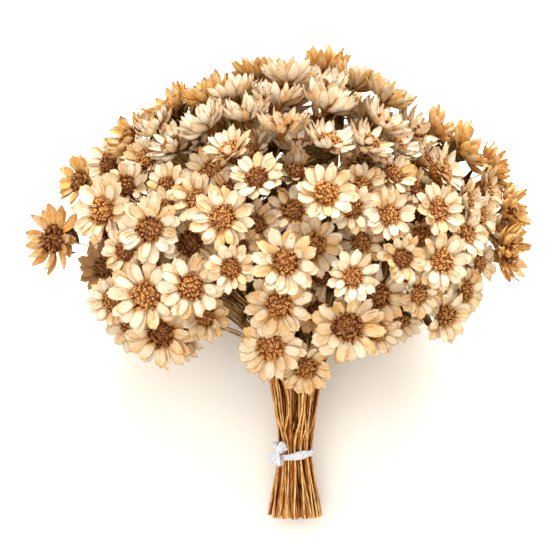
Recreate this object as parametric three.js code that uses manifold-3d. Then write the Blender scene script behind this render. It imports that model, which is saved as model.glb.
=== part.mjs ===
// A short bunch of dried, papery, daisy-like everlasting flowers, tied round its stems with a white cord
// and lying on its side. Each spray, one slender stem with one to four flower heads, is one closed solid.
// The knotted cord that holds them all is another. Millimetres, +Z up, origin under the middle of the bunch
// on the surface it lies on. The bunch is first laid out in its own frame: x across, y along the stems from
// their cut ends, z out of its upper side. It is then tilted until the stem ends and lowest petals touch.
import * as THREE from "three";
import { mergeVertices } from "three/addons/utils/BufferGeometryUtils.js";
import Module from "manifold-3d";

const wasm = await Module();
wasm.setup();

// Driving dimensions, in millimetres and degrees
const TILT = 24; // rise of the stems from the surface
const TIE_AT = 16; // the tie's distance from the cut ends
const STEM_PITCH = 0.97; // between stems at the tie
const STEM_RADIUS = 0.42; // of a stem's three corners
const FOOT_SPREAD = 1.72; // width of the stems at their cut ends, as a share of that at the tie
const THROAT = 33; // how far up from the cut ends the stems stay together
const THROAT_SPREAD = 1.55; // and their width there
const FAN = 44; // where they seem to spread from
const TWIST = 14; // turn of the stems from the cut ends to the tie
const FLAT = 0.35; // how far the lowest petals are pressed flat on the surface

// The head of the bunch is one rounded dome. Its shoulders slope, and it is shallower where it is pressed
const MIDDLE_X = -3;
const MIDDLE_Y = 66;
const UPPER_DOME = { side: 58, top: 47, bottom: 34, depth: 46 };
const LOWER_DOME = { side: 45, top: 43, bottom: 19, depth: 42 };
const SHOULDER = 1.6; // 2 is an ellipse, 1 a gable

// A flower head. Its radius is 1, so that each one is scaled by its own size
const DISC = 0.4;
const PETAL_WIDTH = 0.52;
const PETAL_BULGE = 0.58; // where along a petal it is widest
const RIM_THICK = 1.5; // in millimetres, at the petals' roots
const DISC_RISE = 0.75;
const CALYX_DEPTH = 3.4;
const PETALS_SHOWN = 8;
const PETALS_HIDDEN = 6;
const OPEN_CUP = 14; // rise of an open head's petals
const CLOSED_CUP = 35; // and of those at the top of the bunch
const SIDE_CLOSED = 0.7; // how far those at its right edge are closed, of that

// Places of the heads on the upper side: across, along and apparent width, as they show from straight in
// front of SIGHT_X, SIGHT_Y at SIGHT_DISTANCE. The foremost of a crowd come first.
const SIGHT_X = -3.75;
const SIGHT_Y = 59;
const SIGHT_DISTANCE = 420;
const UPPER_HEADS = [
  // the broad open ones of the middle and the lower rim
  [-37.25, 55, 18.5], [-2.5, 63.5, 17], [13, 47.25, 18.5], [-6, 42.25, 17], [-4, 52.75, 16.5],
  [20.5, 55.25, 16], [-18.25, 74.5, 16], [-48, 76.25, 17.5], [7.75, 80.5, 15.5], [-26, 57.25, 16.5],
  [-36.25, 71.75, 16.5], [4.5, 67.5, 15.5], [36.5, 63.75, 15], [-33.5, 45.75, 17.5], [-0.5, 76.25, 13],
  [-24.75, 79.25, 13], [-21, 86, 14], [0.5, 86, 14], [23.5, 75.25, 13.5], [35.75, 76.5, 14],
  [-26.25, 68.25, 15], [-9.75, 72.75, 12.5], [16.5, 68.5, 12], [14.5, 59.75, 13], [42.75, 70.5, 13],
  [37.5, 50, 13.5], [2.75, 37.25, 14], [53.75, 66, 13.5], [-60.25, 69.25, 17.5],
  // the cups of the upper rows
  [8.5, 103.25, 14], [8.75, 94, 13], [-3, 98, 13], [-22.75, 98.5, 13], [-9.5, 84.5, 13.5],
  [-11.25, 91.25, 12.5], [37, 86.5, 13.5], [43, 92, 14], [16.75, 82.25, 11.5], [24.5, 85.5, 11],
  [25.75, 92.5, 11.5], [47.75, 82.25, 11.5], [54, 76.75, 11], [50, 87, 10.5], [36.75, 96, 10.5],
  [30, 96.25, 10], [23.25, 104.75, 10], [15, 108.5, 10.5], [8, 112.5, 10.5], [-1.5, 109.75, 11.5],
  [-9.25, 111, 11], [-21.75, 105.5, 10.5], [-31.5, 102.25, 11], [-41.5, 94.5, 11], [-53.75, 83.75, 10.5],
  [-31, 92.75, 11.5], [-46.5, 88.25, 11], [-37.25, 89, 10.5], [-42, 82.5, 10], [-32, 82.25, 11],
  // the small ones between and behind them
  [-31.75, 76.5, 10.5], [-16.5, 91.5, 10.5], [-15.25, 106, 10.5], [-12, 101, 10.5], [-4.25, 104.5, 11],
  [22.5, 98.5, 10.5], [18.75, 93.5, 10], [1.25, 92.75, 11], [17.5, 87.75, 10], [30.75, 81.5, 11],
  [32.25, 89, 10], [46.25, 75.25, 10.5], [31.25, 70, 11.5], [26.75, 64.5, 11.5], [30.75, 55.5, 12],
  [42.5, 56.25, 11], [45.75, 63.5, 10], [26.25, 49.5, 11.5], [20.5, 46, 11.5], [5.5, 51, 12.5],
  [-16, 62, 12.5], [-22.5, 49.75, 12.5], [-45.75, 53.75, 12.5], [-36.25, 62.75, 12.5], [-48, 62, 11.5],
  [-42.25, 66.25, 11], [14.25, 77, 11.5], [-14.25, 67.25, 10.5], [6.75, 60, 11],
  [50.5, 71.5, 12.5], [-41, 47.5, 13], [-28.5, 45, 12], [-35.5, 97.5, 12], [-6.5, 95.5, 12],
  [-25, 94, 12], [42.5, 78.5, 12], [-16.5, 81, 12],
];
const DEPTH_STEPS = [0, -3, -6, -9, -12]; // a head in a crowd sits back by one of these
const CROWDED = 10.5; // centres nearer than this call for another depth
const LEAST_WIDTH = 12.4; // of a head that shows only in part

// The heads of the lower side and the back follow an even spiral over the dome
const LOWER_TRIES = 1500;
const LOWER_SPACING = 11.3;
const LOWER_RADIUS = 7.4;
const BARE_THROAT = 0.72; // the dome's end round the stems bears none

// The tie: its inner radius, thickness and width, how it sits on the stems, and the lobes of its knot
const TIE_RADIUS = 4.7;
const TIE_THICK = 0.85;
const TIE_WIDTH = 2.2;
const TIE_LEAN = 9; // it slips down on the upper side
const TIE_SLANT = 6; // and rises to the right
const KNOT_TURN = 42; // the knot's place round the stems, left of the upper side
const KNOT_LOBES = [
  // across, along and out of the knot's middle, with half-length, half-width and turn
  [0, 0, 0.2, 1.6, 1.3, 0],
  [-1.9, -1.3, 0.3, 1.7, 1.1, 35],
  [-0.2, -2.5, 0.5, 1.6, 1.0, 80],
  [0.3, 2.2, 0.3, 2.0, 0.8, 100],
];

const SPRAYS = 55; // a full hexagon pattern of stems at the tie
const MOST_ON_A_SPRAY = 4;
const FORK_DROP = 12; // from the heads down to where their stalks meet
const FORK_STEP = 0.28; // between two stalks, as a share of the next stretch of stem

const UP = new THREE.Vector3(0, 1, 0);
const OUT = new THREE.Vector3(0, 0, 1);
const vec = (x = 0, y = 0, z = 0) => new THREE.Vector3(x, y, z);
const rad = THREE.MathUtils.degToRad;

// A repeatable stream of numbers from 0 to 1
function seeded(seed) {
  let state = seed;
  return () => {
    state = (state * 16807) % 2147483647;
    return state / 2147483647;
  };
}
const draw = seeded(20711);
const jitter = (amount) => (draw() * 2 - 1) * amount;

// Height over the surface of a point of the bunch's own frame
const FOOT_RADIUS = Math.sqrt(13) * STEM_PITCH * FOOT_SPREAD + STEM_RADIUS;
const FOOT_HEIGHT = FOOT_RADIUS * Math.cos(rad(TILT)) - FLAT / 2;
const heightOf = (p) => p.y * Math.sin(rad(TILT)) + p.z * Math.cos(rad(TILT)) + FOOT_HEIGHT;

// Flower heads: at is the middle of the disc, face the way it looks, radius its reach when flat
function shareOf(across, along) {
  const power = along > 0 ? SHOULDER : 2;
  return (Math.abs(across) ** power + Math.abs(along) ** power) ** (1 / power);
}

function domeShare(dome, x, y) {
  const half = y > MIDDLE_Y ? dome.top : dome.bottom;
  return shareOf((x - MIDDLE_X) / dome.side, (y - MIDDLE_Y) / half);
}

// How far a head leans from the upper side's square-on direction, by its place on the dome
function leanOf(share, along, across) {
  const upward = 92 * THREE.MathUtils.smoothstep(share, 0.1, 0.9);
  const downward = 30 * share ** 2;
  const leftward = 38 * share ** 3;
  const rightward = 70 * share ** 2.6;
  return (along > 0 ? upward : downward) * along ** 2 + (across > 0 ? rightward : leftward) * across ** 2;
}

function upperFace(x, y, share) {
  const outward = vec(x - MIDDLE_X, y - MIDDLE_Y).normalize();
  const lean = rad(leanOf(share, outward.y, outward.x));
  return OUT.clone().multiplyScalar(Math.cos(lean)).addScaledVector(outward, Math.sin(lean));
}

// Heads face their own way a little. The ones at the top of the bunch are half closed, and the ones at its
// right edge a little less
function madeHead(at, face, reach, petals) {
  const own = face.clone().add(vec(jitter(0.1), jitter(0.1), jitter(0.1))).normalize();
  const atTop = THREE.MathUtils.smoothstep(at.y, 76, 104);
  const atRight = SIDE_CLOSED * THREE.MathUtils.smoothstep(at.x, 44, 54);
  const closed = Math.max(atTop, atRight);
  const cup = THREE.MathUtils.lerp(OPEN_CUP, CLOSED_CUP, closed) + jitter(5);
  return { at, face: own, cup, radius: reach * (1 + 0.22 * closed), turn: draw() * 360, petals };
}

function upperHeads() {
  const placed = [];
  for (const [x, y, width] of UPPER_HEADS) {
    const share = Math.min(0.99, domeShare(UPPER_DOME, x, y));
    const surface = UPPER_DOME.depth * Math.sqrt(1 - share ** 2);
    const atDepth = (step) => {
      const z = surface + step;
      const nearer = 1 - z / SIGHT_DISTANCE;
      return vec(SIGHT_X + (x - SIGHT_X) * nearer, SIGHT_Y + (y - SIGHT_Y) * nearer, z);
    };
    const room = (p) => Math.min(...placed.map((h) => h.at.distanceTo(p)), CROWDED);
    const at = DEPTH_STEPS.map(atDepth).reduce((best, p) => (room(p) > room(best) + 0.01 ? p : best));
    const reach = (Math.max(width, LEAST_WIDTH) / 2) * (1 - at.z / SIGHT_DISTANCE);
    placed.push(madeHead(at, upperFace(x, y, share), reach, PETALS_SHOWN));
  }
  return placed;
}

// A head below is lifted until its lowest petal just presses on the surface
function pressed(head) {
  const low = petalAngles(head).map((turn) => heightOf(petalTip(head, turn, head.cup, 1)));
  const lift = -FLAT - Math.min(...low);
  if (lift > 0) head.at.addScaledVector(vec(0, Math.sin(rad(TILT)), Math.cos(rad(TILT))), lift);
  return head;
}

function lowerHeads(placed) {
  const golden = Math.PI * (3 - Math.sqrt(5));
  const added = [];
  for (let i = 0; i < LOWER_TRIES; i++) {
    const depth = 1 - (2 * (i + 0.5)) / LOWER_TRIES;
    const ring = Math.sqrt(1 - depth ** 2);
    const way = vec(ring * Math.cos(i * golden), ring * Math.sin(i * golden), depth);
    if (way.y < -BARE_THROAT || depth > 0.25) continue;
    const size = vec(LOWER_DOME.side, way.y > 0 ? LOWER_DOME.top : LOWER_DOME.bottom, LOWER_DOME.depth);
    const share = Math.hypot(shareOf(way.x, way.y), way.z);
    const at = way.clone().multiply(size).divideScalar(share).add(vec(MIDDLE_X, MIDDLE_Y));
    const face = way.clone().divide(size).normalize();
    const head = pressed(madeHead(at, face, LOWER_RADIUS, PETALS_HIDDEN));
    const clear = [...placed, ...added].every((h) => h.at.distanceTo(head.at) > LOWER_SPACING);
    if (clear) added.push(head);
  }
  return added;
}

// The frame of a head: two directions in the plane of its disc
function headAxes(head) {
  const x = vec().crossVectors(head.face, Math.abs(head.face.y) < 0.9 ? UP : OUT).normalize();
  return [x, vec().crossVectors(head.face, x)];
}

function onDisc(head, turn, radius, rise) {
  const [x, y] = headAxes(head);
  return head.at.clone().addScaledVector(x, Math.cos(turn) * radius)
    .addScaledVector(y, Math.sin(turn) * radius).addScaledVector(head.face, rise);
}

const petalAngles = (head) =>
  Array.from({ length: head.petals }, (_, i) => rad(head.turn) + ((i + 0.5) / head.petals) * 2 * Math.PI);

// A point of a petal, by its share along the blade and its offset across it
function onPetal(head, turn, cup, length, along, offset) {
  const [x, y] = headAxes(head);
  const outward = x.clone().multiplyScalar(Math.cos(turn)).addScaledVector(y, Math.sin(turn));
  const across = vec().crossVectors(head.face, outward);
  const root = DISC * head.radius * Math.cos(Math.PI / head.petals);
  const reach = (head.radius - root) * length * along;
  return head.at.clone().addScaledVector(outward, root + reach * Math.cos(rad(cup)))
    .addScaledVector(head.face, reach * Math.sin(rad(cup))).addScaledVector(across, offset);
}
const petalTip = (head, turn, cup, length) => onPetal(head, turn, cup, length, 1, 0);

// Sprays: the nearest heads join, until there are as many sprays as stems at the tie
const meanOf = (heads, read) =>
  heads.reduce((sum, h) => sum.add(read(h)), vec()).divideScalar(heads.length);

function groupedHeads(heads) {
  const groups = heads.map((h) => [h]);
  const middles = heads.map((h) => h.at.clone());
  while (groups.length > SPRAYS) {
    let best = [Infinity];
    for (let a = 0; a < groups.length; a++) {
      for (let b = a + 1; b < groups.length; b++) {
        const count = groups[a].length + groups[b].length;
        if (count > MOST_ON_A_SPRAY) continue;
        const apart = middles[a].distanceTo(middles[b]) + 3 * count;
        if (apart < best[0]) best = [apart, a, b];
      }
    }
    const [, a, b] = best;
    groups[a].push(...groups[b]);
    middles[a] = meanOf(groups[a], (h) => h.at);
    groups.splice(b, 1);
    middles.splice(b, 1);
  }
  return groups;
}

// Places of the stems in the tie: a hexagon pattern, nearest the middle first
function stemPattern() {
  const places = [];
  const rings = 4;
  for (let row = -rings; row <= rings; row++) {
    for (let column = -2 * rings; column <= 2 * rings; column++) {
      places.push(vec((column + (row % 2 ? 0.5 : 0)) * STEM_PITCH, 0, row * STEM_PITCH * Math.sqrt(0.75)));
    }
  }
  return places.sort((a, b) => a.length() - b.length() || Math.atan2(a.z, a.x) - Math.atan2(b.z, b.x))
    .slice(0, SPRAYS);
}

// Each spray takes the place in the tie that lies on its own side, so that stems fan out and don't cross
function matchedStems(groups) {
  const throat = vec(0, FAN, 0);
  const wanted = groups.map((heads) => {
    const way = meanOf(heads, (h) => h.at).sub(throat);
    const open = Math.atan2(Math.hypot(way.x, way.z), way.y) / rad(120);
    return vec(way.x, 0, way.z).normalize().multiplyScalar(open * 4.2 * STEM_PITCH);
  });
  const order = stemPattern();
  const cost = (i, j) => wanted[i].distanceToSquared(order[j]);
  const swapsHelp = () => {
    let helped = false;
    for (let i = 0; i < SPRAYS; i++) {
      for (let j = i + 1; j < SPRAYS; j++) {
        if (cost(i, j) + cost(j, i) < cost(i, i) + cost(j, j) - 1e-9) {
          [order[i], order[j]] = [order[j], order[i]];
          helped = true;
        }
      }
    }
    return helped;
  };
  while (swapsHelp()) continue;
  return order;
}

// Routes of the stems, from the cut ends up to each head's calyx
const calyxFoot = (head) => head.at.clone().addScaledVector(head.face, -CALYX_DEPTH);

function turned(place, spread, turn) {
  return place.clone().multiplyScalar(spread).applyAxisAngle(UP, rad(turn));
}

function hermite(from, fromWay, to, toWay, t) {
  const [t2, t3] = [t * t, t * t * t];
  return from.clone().multiplyScalar(2 * t3 - 3 * t2 + 1).addScaledVector(fromWay, t3 - 2 * t2 + t)
    .addScaledVector(to, 3 * t2 - 2 * t3).addScaledVector(toWay, t3 - t2);
}

function stalk(from, fromWay, head, bow, steps) {
  const foot = calyxFoot(head);
  const span = from.distanceTo(foot);
  const start = fromWay.clone().multiplyScalar(span);
  const end = head.face.clone().multiplyScalar(span * 0.9);
  return Array.from({ length: steps }, (_, i) => {
    const t = (i + 1) / steps;
    return hermite(from, start, foot, end, t).addScaledVector(bow, Math.sin(Math.PI * t));
  });
}

function stemBelow(place, fork, way, bow) {
  const foot = turned(place, FOOT_SPREAD, TWIST);
  const tie = vec(place.x, TIE_AT, place.z);
  const throat = turned(place, THROAT_SPREAD, 0).setY(THROAT);
  const reach = 0.35 * fork.distanceTo(throat);
  const rise = throat.clone().sub(tie).setLength(reach).add(throat);
  const bend = fork.clone().addScaledVector(way, -reach).addScaledVector(bow, 2);
  const fan = new THREE.CubicBezierCurve3(throat, rise, bend, fork);
  return [foot, tie, ...fan.getPoints(3)];
}

// Room between the pieces: each placed piece leaves marks, and a new one keeps clear of the others' marks
const CELL = 4;
const marks = new Map();
const keyOf = (x, y, z) => `${Math.floor(x / CELL)},${Math.floor(y / CELL)},${Math.floor(z / CELL)}`;

function mark(p, reach, head, spray, kind) {
  const key = keyOf(p.x, p.y, p.z);
  if (!marks.has(key)) marks.set(key, []);
  marks.get(key).push({ p, reach, head, spray, kind });
}

function isClear(p, reach, skips, floor) {
  if (heightOf(p) < floor) return false;
  for (let i = -1; i <= 1; i++) {
    for (let j = -1; j <= 1; j++) {
      for (let k = -1; k <= 1; k++) {
        for (const m of marks.get(keyOf(p.x + i * CELL, p.y + j * CELL, p.z + k * CELL)) ?? []) {
          if (!skips(m) && m.p.distanceTo(p) < m.reach + reach) return false;
        }
      }
    }
  }
  return true;
}

function along(route, step) {
  const points = [];
  for (let i = 1; i < route.length; i++) {
    const count = Math.ceil(route[i].distanceTo(route[i - 1]) / step);
    for (let k = 0; k < count; k++) points.push(route[i - 1].clone().lerp(route[i], k / count));
  }
  return points;
}

const STEM_MARK = 0.5;
const FORK_ROOM = 0.9;
const STEM_STEP = 0.7;
const PETAL_MARK = 0.66;

function markHead(head) {
  const down = [[-0.5, DISC * head.radius], [-1.7, 1.6], [-2.8, 0.9], [-3.8, 0.75]];
  down.forEach(([rise, reach]) => mark(onDisc(head, 0, 0, rise), reach, head, head.spray, "disc"));
}

function blockedLength(route, spray, head) {
  const own = (m) => m.spray === spray && (m.kind === "stem" || m.head === head);
  return along(route, STEM_STEP).filter((p) => !isClear(p, STEM_MARK, own, STEM_RADIUS)).length;
}

// Slight bows to try, so that a stem keeps clear of the others
const BOWS = [vec()];
for (const reach of [1.2, 2.4, 3.6, 5, 6.5]) {
  for (let i = 0; i < 8; i++) {
    const turn = (i / 8) * 2 * Math.PI;
    BOWS.push(vec(Math.cos(turn) * reach, 0, Math.sin(turn) * reach));
    BOWS.push(vec(Math.cos(turn) * reach, Math.sin(turn) * reach, 0));
  }
}

// The first bow that is clear, or else the one that is blocked least
function clearest(make, blocked) {
  let best = Infinity;
  let chosen = null;
  for (const bow of BOWS) {
    const route = make(bow);
    const length = blocked(route);
    if (length < best) [best, chosen] = [length, route];
    if (best === 0) break;
  }
  return chosen;
}

function clearStem(spray, i) {
  const make = (bow) => stemBelow(spray.place, spray.fork, spray.way, bow);
  return clearest(make, (route) => blockedLength(route.filter((p) => p.y > THROAT), i, null));
}

function clearStalk(root, i, head, way, steps) {
  const make = (bow) => [root, ...stalk(root, way, head, bow, steps)];
  return clearest(make, (route) => blockedLength(route.slice(0, -1), i, head));
}

function makeSprays(heads) {
  const groups = groupedHeads(heads);
  const places = matchedStems(groups);
  const sprays = groups.map((members, i) => {
    const feet = meanOf(members, calyxFoot);
    const lean = meanOf(members, (h) => h.face).normalize();
    const fromThroat = feet.clone().sub(vec(0, FAN, 0)).normalize();
    const way = lean.multiplyScalar(0.45).add(fromThroat).normalize();
    return { members, place: places[i], way, fork: feet.addScaledVector(way, -FORK_DROP) };
  });
  const height = (s) => Math.round(s.fork.y / 20);
  sprays.sort((a, b) => height(b) - height(a) || a.fork.x - b.fork.x);
  sprays.forEach((spray, i) => {
    spray.members.forEach((h) => (h.spray = i));
    const straightness = (h) => calyxFoot(h).sub(spray.fork).normalize().dot(spray.way);
    spray.members.sort((a, b) => straightness(b) - straightness(a));
  });
  heads.forEach(markHead);
  sprays.forEach((spray, i) => {
    const own = (m) => m.spray === i;
    const hasRoom = (bow) => isClear(spray.fork.clone().add(bow), FORK_ROOM, own, FORK_ROOM);
    spray.fork.add(BOWS.find(hasRoom) ?? BOWS[0]);
    spray.below = clearStem(spray, i);
    along(spray.below, STEM_STEP).forEach((p) => mark(p, STEM_MARK, spray.members[0], i, "stem"));
  });
  sprays.forEach((spray, i) => {
    const [first, ...others] = spray.members;
    const upward = clearStalk(spray.fork, i, first, spray.way, 2);
    first.route = [...spray.below, ...upward.slice(1)];
    others.forEach((head, k) => {
      const root = upward[0].clone().lerp(upward[1], 0.2 + FORK_STEP * k);
      head.route = clearStalk(root, i, head, calyxFoot(head).sub(root).normalize(), 3);
    });
    spray.members.forEach((head) =>
      along(head.route, STEM_STEP).forEach((p) => mark(p, STEM_MARK, head, i, "stem")));
  });
  return sprays;
}

// Petals: each one stays at its head's own cup where there is room, and is else bent or cut shorter
const BENDS = [0, 9, -9, 18, -18, 28, 38, -28, 48];
const LENGTHS = [1, 0.86, 0.72, 0.58, 0.44, 0.3];

function petalMarks(head, turn, cup, length) {
  const blade = (head.radius * (1 - DISC)) * length;
  const rows = Math.max(2, Math.round(blade / 1.15));
  const half = (PETAL_WIDTH * head.radius) / 2;
  const points = [];
  for (let i = 1; i <= rows; i++) {
    const share = i / rows;
    const inner = 0.55 + (0.45 * share) / PETAL_BULGE;
    const open = Math.min(inner, (1 - share) / (1 - PETAL_BULGE));
    points.push(onPetal(head, turn, cup, length, share, 0));
    if (open > 0.2) {
      points.push(onPetal(head, turn, cup, length, share, half * open * 0.85));
      points.push(onPetal(head, turn, cup, length, share, -half * open * 0.85));
    }
  }
  return points;
}

function settlePetals(head) {
  const own = (m) => m.head === head;
  head.blades = petalAngles(head).map((turn) => {
    for (const length of LENGTHS) {
      for (const bend of BENDS) {
        const cup = THREE.MathUtils.clamp(head.cup + bend, -25, 84);
        const points = petalMarks(head, turn, cup, length);
        if (points.every((p) => isClear(p, PETAL_MARK, own, -FLAT))) return { turn, cup, length, points };
      }
    }
    return { turn, cup: 70, length: 0.12, points: [] };
  });
  head.blades.forEach((b) => b.points.forEach((p) => mark(p, PETAL_MARK, head, head.spray, "petal")));
}

// Surfaces: vertices and faces of one closed skin
class Skin {
  points = [];
  faces = [];
  add(p) {
    this.points.push(p);
    return this.points.length - 1;
  }
  face(...corners) {
    this.faces.push(corners);
  }
  geometry() {
    const made = new THREE.BufferGeometry();
    const numbers = this.points.flatMap((p) => p.toArray());
    made.setAttribute("position", new THREE.Float32BufferAttribute(numbers, 3));
    made.setIndex(this.faces.flat());
    return made;
  }
}

// A head's disc and petals. Returns the ring under the petals, which the calyx goes on from
function skinHead(skin, head) {
  const rim = DISC * head.radius;
  const count = head.petals;
  const upper = [];
  const lower = [];
  for (let i = 0; i < count; i++) {
    const turn = rad(head.turn) + (i / count) * 2 * Math.PI;
    upper.push(skin.add(onDisc(head, turn, rim, RIM_THICK * 0.25)));
    lower.push(skin.add(onDisc(head, turn, rim * 0.94, -RIM_THICK * 0.75)));
  }
  const middle = skin.add(onDisc(head, 0, 0, DISC_RISE));
  head.blades.forEach(({ turn, cup, length }, i) => {
    const j = (i + 1) % count;
    const half = (PETAL_WIDTH * head.radius) / 2;
    const left = skin.add(onPetal(head, turn, cup, length, PETAL_BULGE, -half));
    const right = skin.add(onPetal(head, turn, cup, length, PETAL_BULGE, half));
    const tip = skin.add(petalTip(head, turn, cup, length));
    skin.face(middle, upper[i], upper[j]);
    skin.face(upper[i], left, tip);
    skin.face(upper[i], tip, upper[j]);
    skin.face(tip, right, upper[j]);
    skin.face(left, upper[i], lower[i]);
    skin.face(upper[j], right, lower[j]);
    skin.face(lower[i], tip, left);
    skin.face(lower[i], lower[j], tip);
    skin.face(lower[j], right, tip);
  });
  return lower;
}

// Three-cornered rings down a route, each turned as little as can be from the one above
const CORNERS = [0, 1, 2];

function skinStem(skin, head, ring) {
  const route = [...head.route].reverse();
  let [side] = headAxes(head);
  let way = head.face.clone().negate();
  const rings = route.map((p, i) => {
    const after = route[Math.min(i + 1, route.length - 1)];
    const next = after.clone().sub(route[Math.max(i - 1, 0)]).normalize();
    side.applyQuaternion(new THREE.Quaternion().setFromUnitVectors(way, next));
    way = next;
    const other = vec().crossVectors(side, way);
    return CORNERS.map((k) => {
      const turn = (k / 3) * 2 * Math.PI;
      return skin.add(p.clone().addScaledVector(side, Math.cos(turn) * STEM_RADIUS)
        .addScaledVector(other, Math.sin(turn) * STEM_RADIUS));
    });
  });
  skinCalyx(skin, head, ring, rings[0]);
  for (let i = 1; i < rings.length; i++) {
    const [a, b] = [rings[i - 1], rings[i]];
    CORNERS.forEach((k) => {
      const j = (k + 1) % 3;
      skin.face(a[j], a[k], b[k]);
      skin.face(a[j], b[k], b[j]);
    });
  }
  const last = rings[rings.length - 1];
  skin.face(last[2], last[1], last[0]);
}

// The calyx narrows from the many-cornered ring to the stalk's three corners
function skinCalyx(skin, head, ring, corners) {
  const [x, y] = headAxes(head);
  const turnOf = (i) => {
    const v = skin.points[i].clone().sub(head.at);
    return (Math.atan2(v.dot(y), v.dot(x)) + 2 * Math.PI) % (2 * Math.PI);
  };
  const sorted = (list) => [...list].sort((a, b) => turnOf(a) - turnOf(b));
  const [many, few] = [sorted(ring), sorted(corners)];
  const lap = (list, i) => turnOf(list[i % list.length]) + 2 * Math.PI * Math.floor(i / list.length);
  for (let i = 0, j = 0; i < many.length || j < few.length; ) {
    const [m, f] = [many[i % many.length], few[j % few.length]];
    const downNext = j < few.length && (i >= many.length || lap(few, j + 1) < lap(many, i + 1));
    if (downNext) {
      skin.face(f, few[(j + 1) % few.length], m);
      j += 1;
    } else {
      skin.face(many[(i + 1) % many.length], m, f);
      i += 1;
    }
  }
}

// Closed skins to solids and back
function solidOf(geometry) {
  const bare = geometry.clone();
  bare.deleteAttribute("normal");
  bare.deleteAttribute("uv");
  const merged = mergeVertices(bare, 1e-4);
  return new wasm.Manifold(new wasm.Mesh({
    numProp: 3,
    vertProperties: new Float32Array(merged.attributes.position.array),
    triVerts: new Uint32Array(merged.index.array),
  }));
}

function geometryOf(solid) {
  const mesh = solid.getMesh();
  const made = new THREE.BufferGeometry();
  made.setAttribute("position", new THREE.BufferAttribute(new Float32Array(mesh.vertProperties), 3));
  made.setIndex(new THREE.BufferAttribute(new Uint32Array(mesh.triVerts), 1));
  return made;
}

// What the surface presses flat: a slab whose top is the surface, in the bunch's frame
function surfaceSlab() {
  const depth = 20;
  const slab = new THREE.BoxGeometry(300, 300, depth);
  slab.translate(0, 60, -depth / 2 - FOOT_HEIGHT);
  return solidOf(slab.applyMatrix4(new THREE.Matrix4().makeRotationX(-rad(TILT))));
}

function sprayGeometry(spray, slab) {
  const branches = spray.members.map((head) => {
    const skin = new Skin();
    skinStem(skin, head, skinHead(skin, head));
    return solidOf(skin.geometry());
  });
  const whole = branches.reduce((sum, branch) => sum.add(branch)).subtract(slab);
  const bodies = whole.decompose().sort((a, b) => b.volume() - a.volume());
  return geometryOf(bodies[0].simplify(0.03));
}

// The tie: a flat cord wound once round the stems, with its knot, two loops and a short end
function tieBand() {
  const half = TIE_WIDTH / 2;
  const bulge = TIE_THICK / 4;
  const outline = [
    [TIE_RADIUS, -half], [TIE_RADIUS + TIE_THICK - bulge, -half], [TIE_RADIUS + TIE_THICK, -half + bulge],
    [TIE_RADIUS + TIE_THICK, half - bulge], [TIE_RADIUS + TIE_THICK - bulge, half], [TIE_RADIUS, half],
    [TIE_RADIUS, -half],
  ].map(([r, h]) => new THREE.Vector2(r, h));
  return solidOf(new THREE.LatheGeometry(outline, 18));
}

function tieGeometry() {
  const turn = -rad(KNOT_TURN);
  const knotRadius = TIE_RADIUS + TIE_THICK;
  const lobes = KNOT_LOBES.map(([across, up, out, length, width, angle]) => {
    const lobe = new THREE.SphereGeometry(1, 7, 5);
    lobe.scale(length, width, 0.85).rotateZ(rad(angle));
    lobe.translate(across, up, knotRadius + out).rotateY(turn);
    return solidOf(lobe);
  });
  const whole = lobes.reduce((sum, lobe) => sum.add(lobe), tieBand());
  const made = geometryOf(whole).rotateX(rad(TIE_LEAN)).rotateZ(rad(TIE_SLANT));
  return made.translate(0, TIE_AT, 0);
}

// Materials of the CAD pieces
const driedFlower = new THREE.MeshStandardMaterial({ color: 0xe9cf9f, roughness: 0.8, metalness: 0 });
const whiteCord = new THREE.MeshStandardMaterial({ color: 0xf2f1f3, roughness: 0.85, metalness: 0 });

const upper = upperHeads();
const heads = [...upper, ...lowerHeads(upper)];
const sprays = makeSprays(heads);
heads.forEach(settlePetals);

const bunch = new THREE.Group();
const slab = surfaceSlab();
sprays.forEach((spray, i) => {
  const mesh = new THREE.Mesh(sprayGeometry(spray, slab), driedFlower);
  mesh.name = `spray_${String(i + 1).padStart(2, "0")}`;
  bunch.add(mesh);
});
const tie = new THREE.Mesh(tieGeometry(), whiteCord);
tie.name = "tie";
bunch.add(tie);

// Lay the bunch down, with the origin under the middle of its box
bunch.rotation.x = rad(TILT);
bunch.position.z = FOOT_HEIGHT;
bunch.updateMatrixWorld(true);
const box = new THREE.Box3().setFromObject(bunch, true);
bunch.position.x -= (box.min.x + box.max.x) / 2;
bunch.position.y -= (box.min.y + box.max.y) / 2;
bunch.position.z -= box.min.z;

const part = new THREE.Group();
part.add(bunch);
export default part;
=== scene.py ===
# A tied bunch of dried, papery, daisy-like everlasting flowers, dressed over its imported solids.
# Each spray's solid tells where its heads and stems are, and the petals, hearts, stalks and leaves grow there.
import bmesh
import bpy
import heapq
import numpy as np
import random
from math import atan2, cos, hypot, pi, radians, sin, sqrt, tau
from mathutils import Matrix, Vector, noise


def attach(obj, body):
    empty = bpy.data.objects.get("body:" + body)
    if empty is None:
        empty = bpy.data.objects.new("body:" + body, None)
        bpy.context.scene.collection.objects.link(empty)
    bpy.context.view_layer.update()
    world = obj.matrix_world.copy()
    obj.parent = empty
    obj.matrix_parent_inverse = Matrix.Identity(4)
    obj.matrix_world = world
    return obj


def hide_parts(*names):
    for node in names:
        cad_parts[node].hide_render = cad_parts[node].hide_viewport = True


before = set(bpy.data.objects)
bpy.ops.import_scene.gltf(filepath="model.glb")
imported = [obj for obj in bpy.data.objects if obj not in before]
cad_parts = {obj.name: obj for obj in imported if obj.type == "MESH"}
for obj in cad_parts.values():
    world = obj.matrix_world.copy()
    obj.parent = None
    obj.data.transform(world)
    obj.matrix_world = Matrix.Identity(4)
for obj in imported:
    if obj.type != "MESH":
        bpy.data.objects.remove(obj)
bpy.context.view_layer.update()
mm = 0.001
random.seed(4117)
noise.seed_set(4117)

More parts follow.
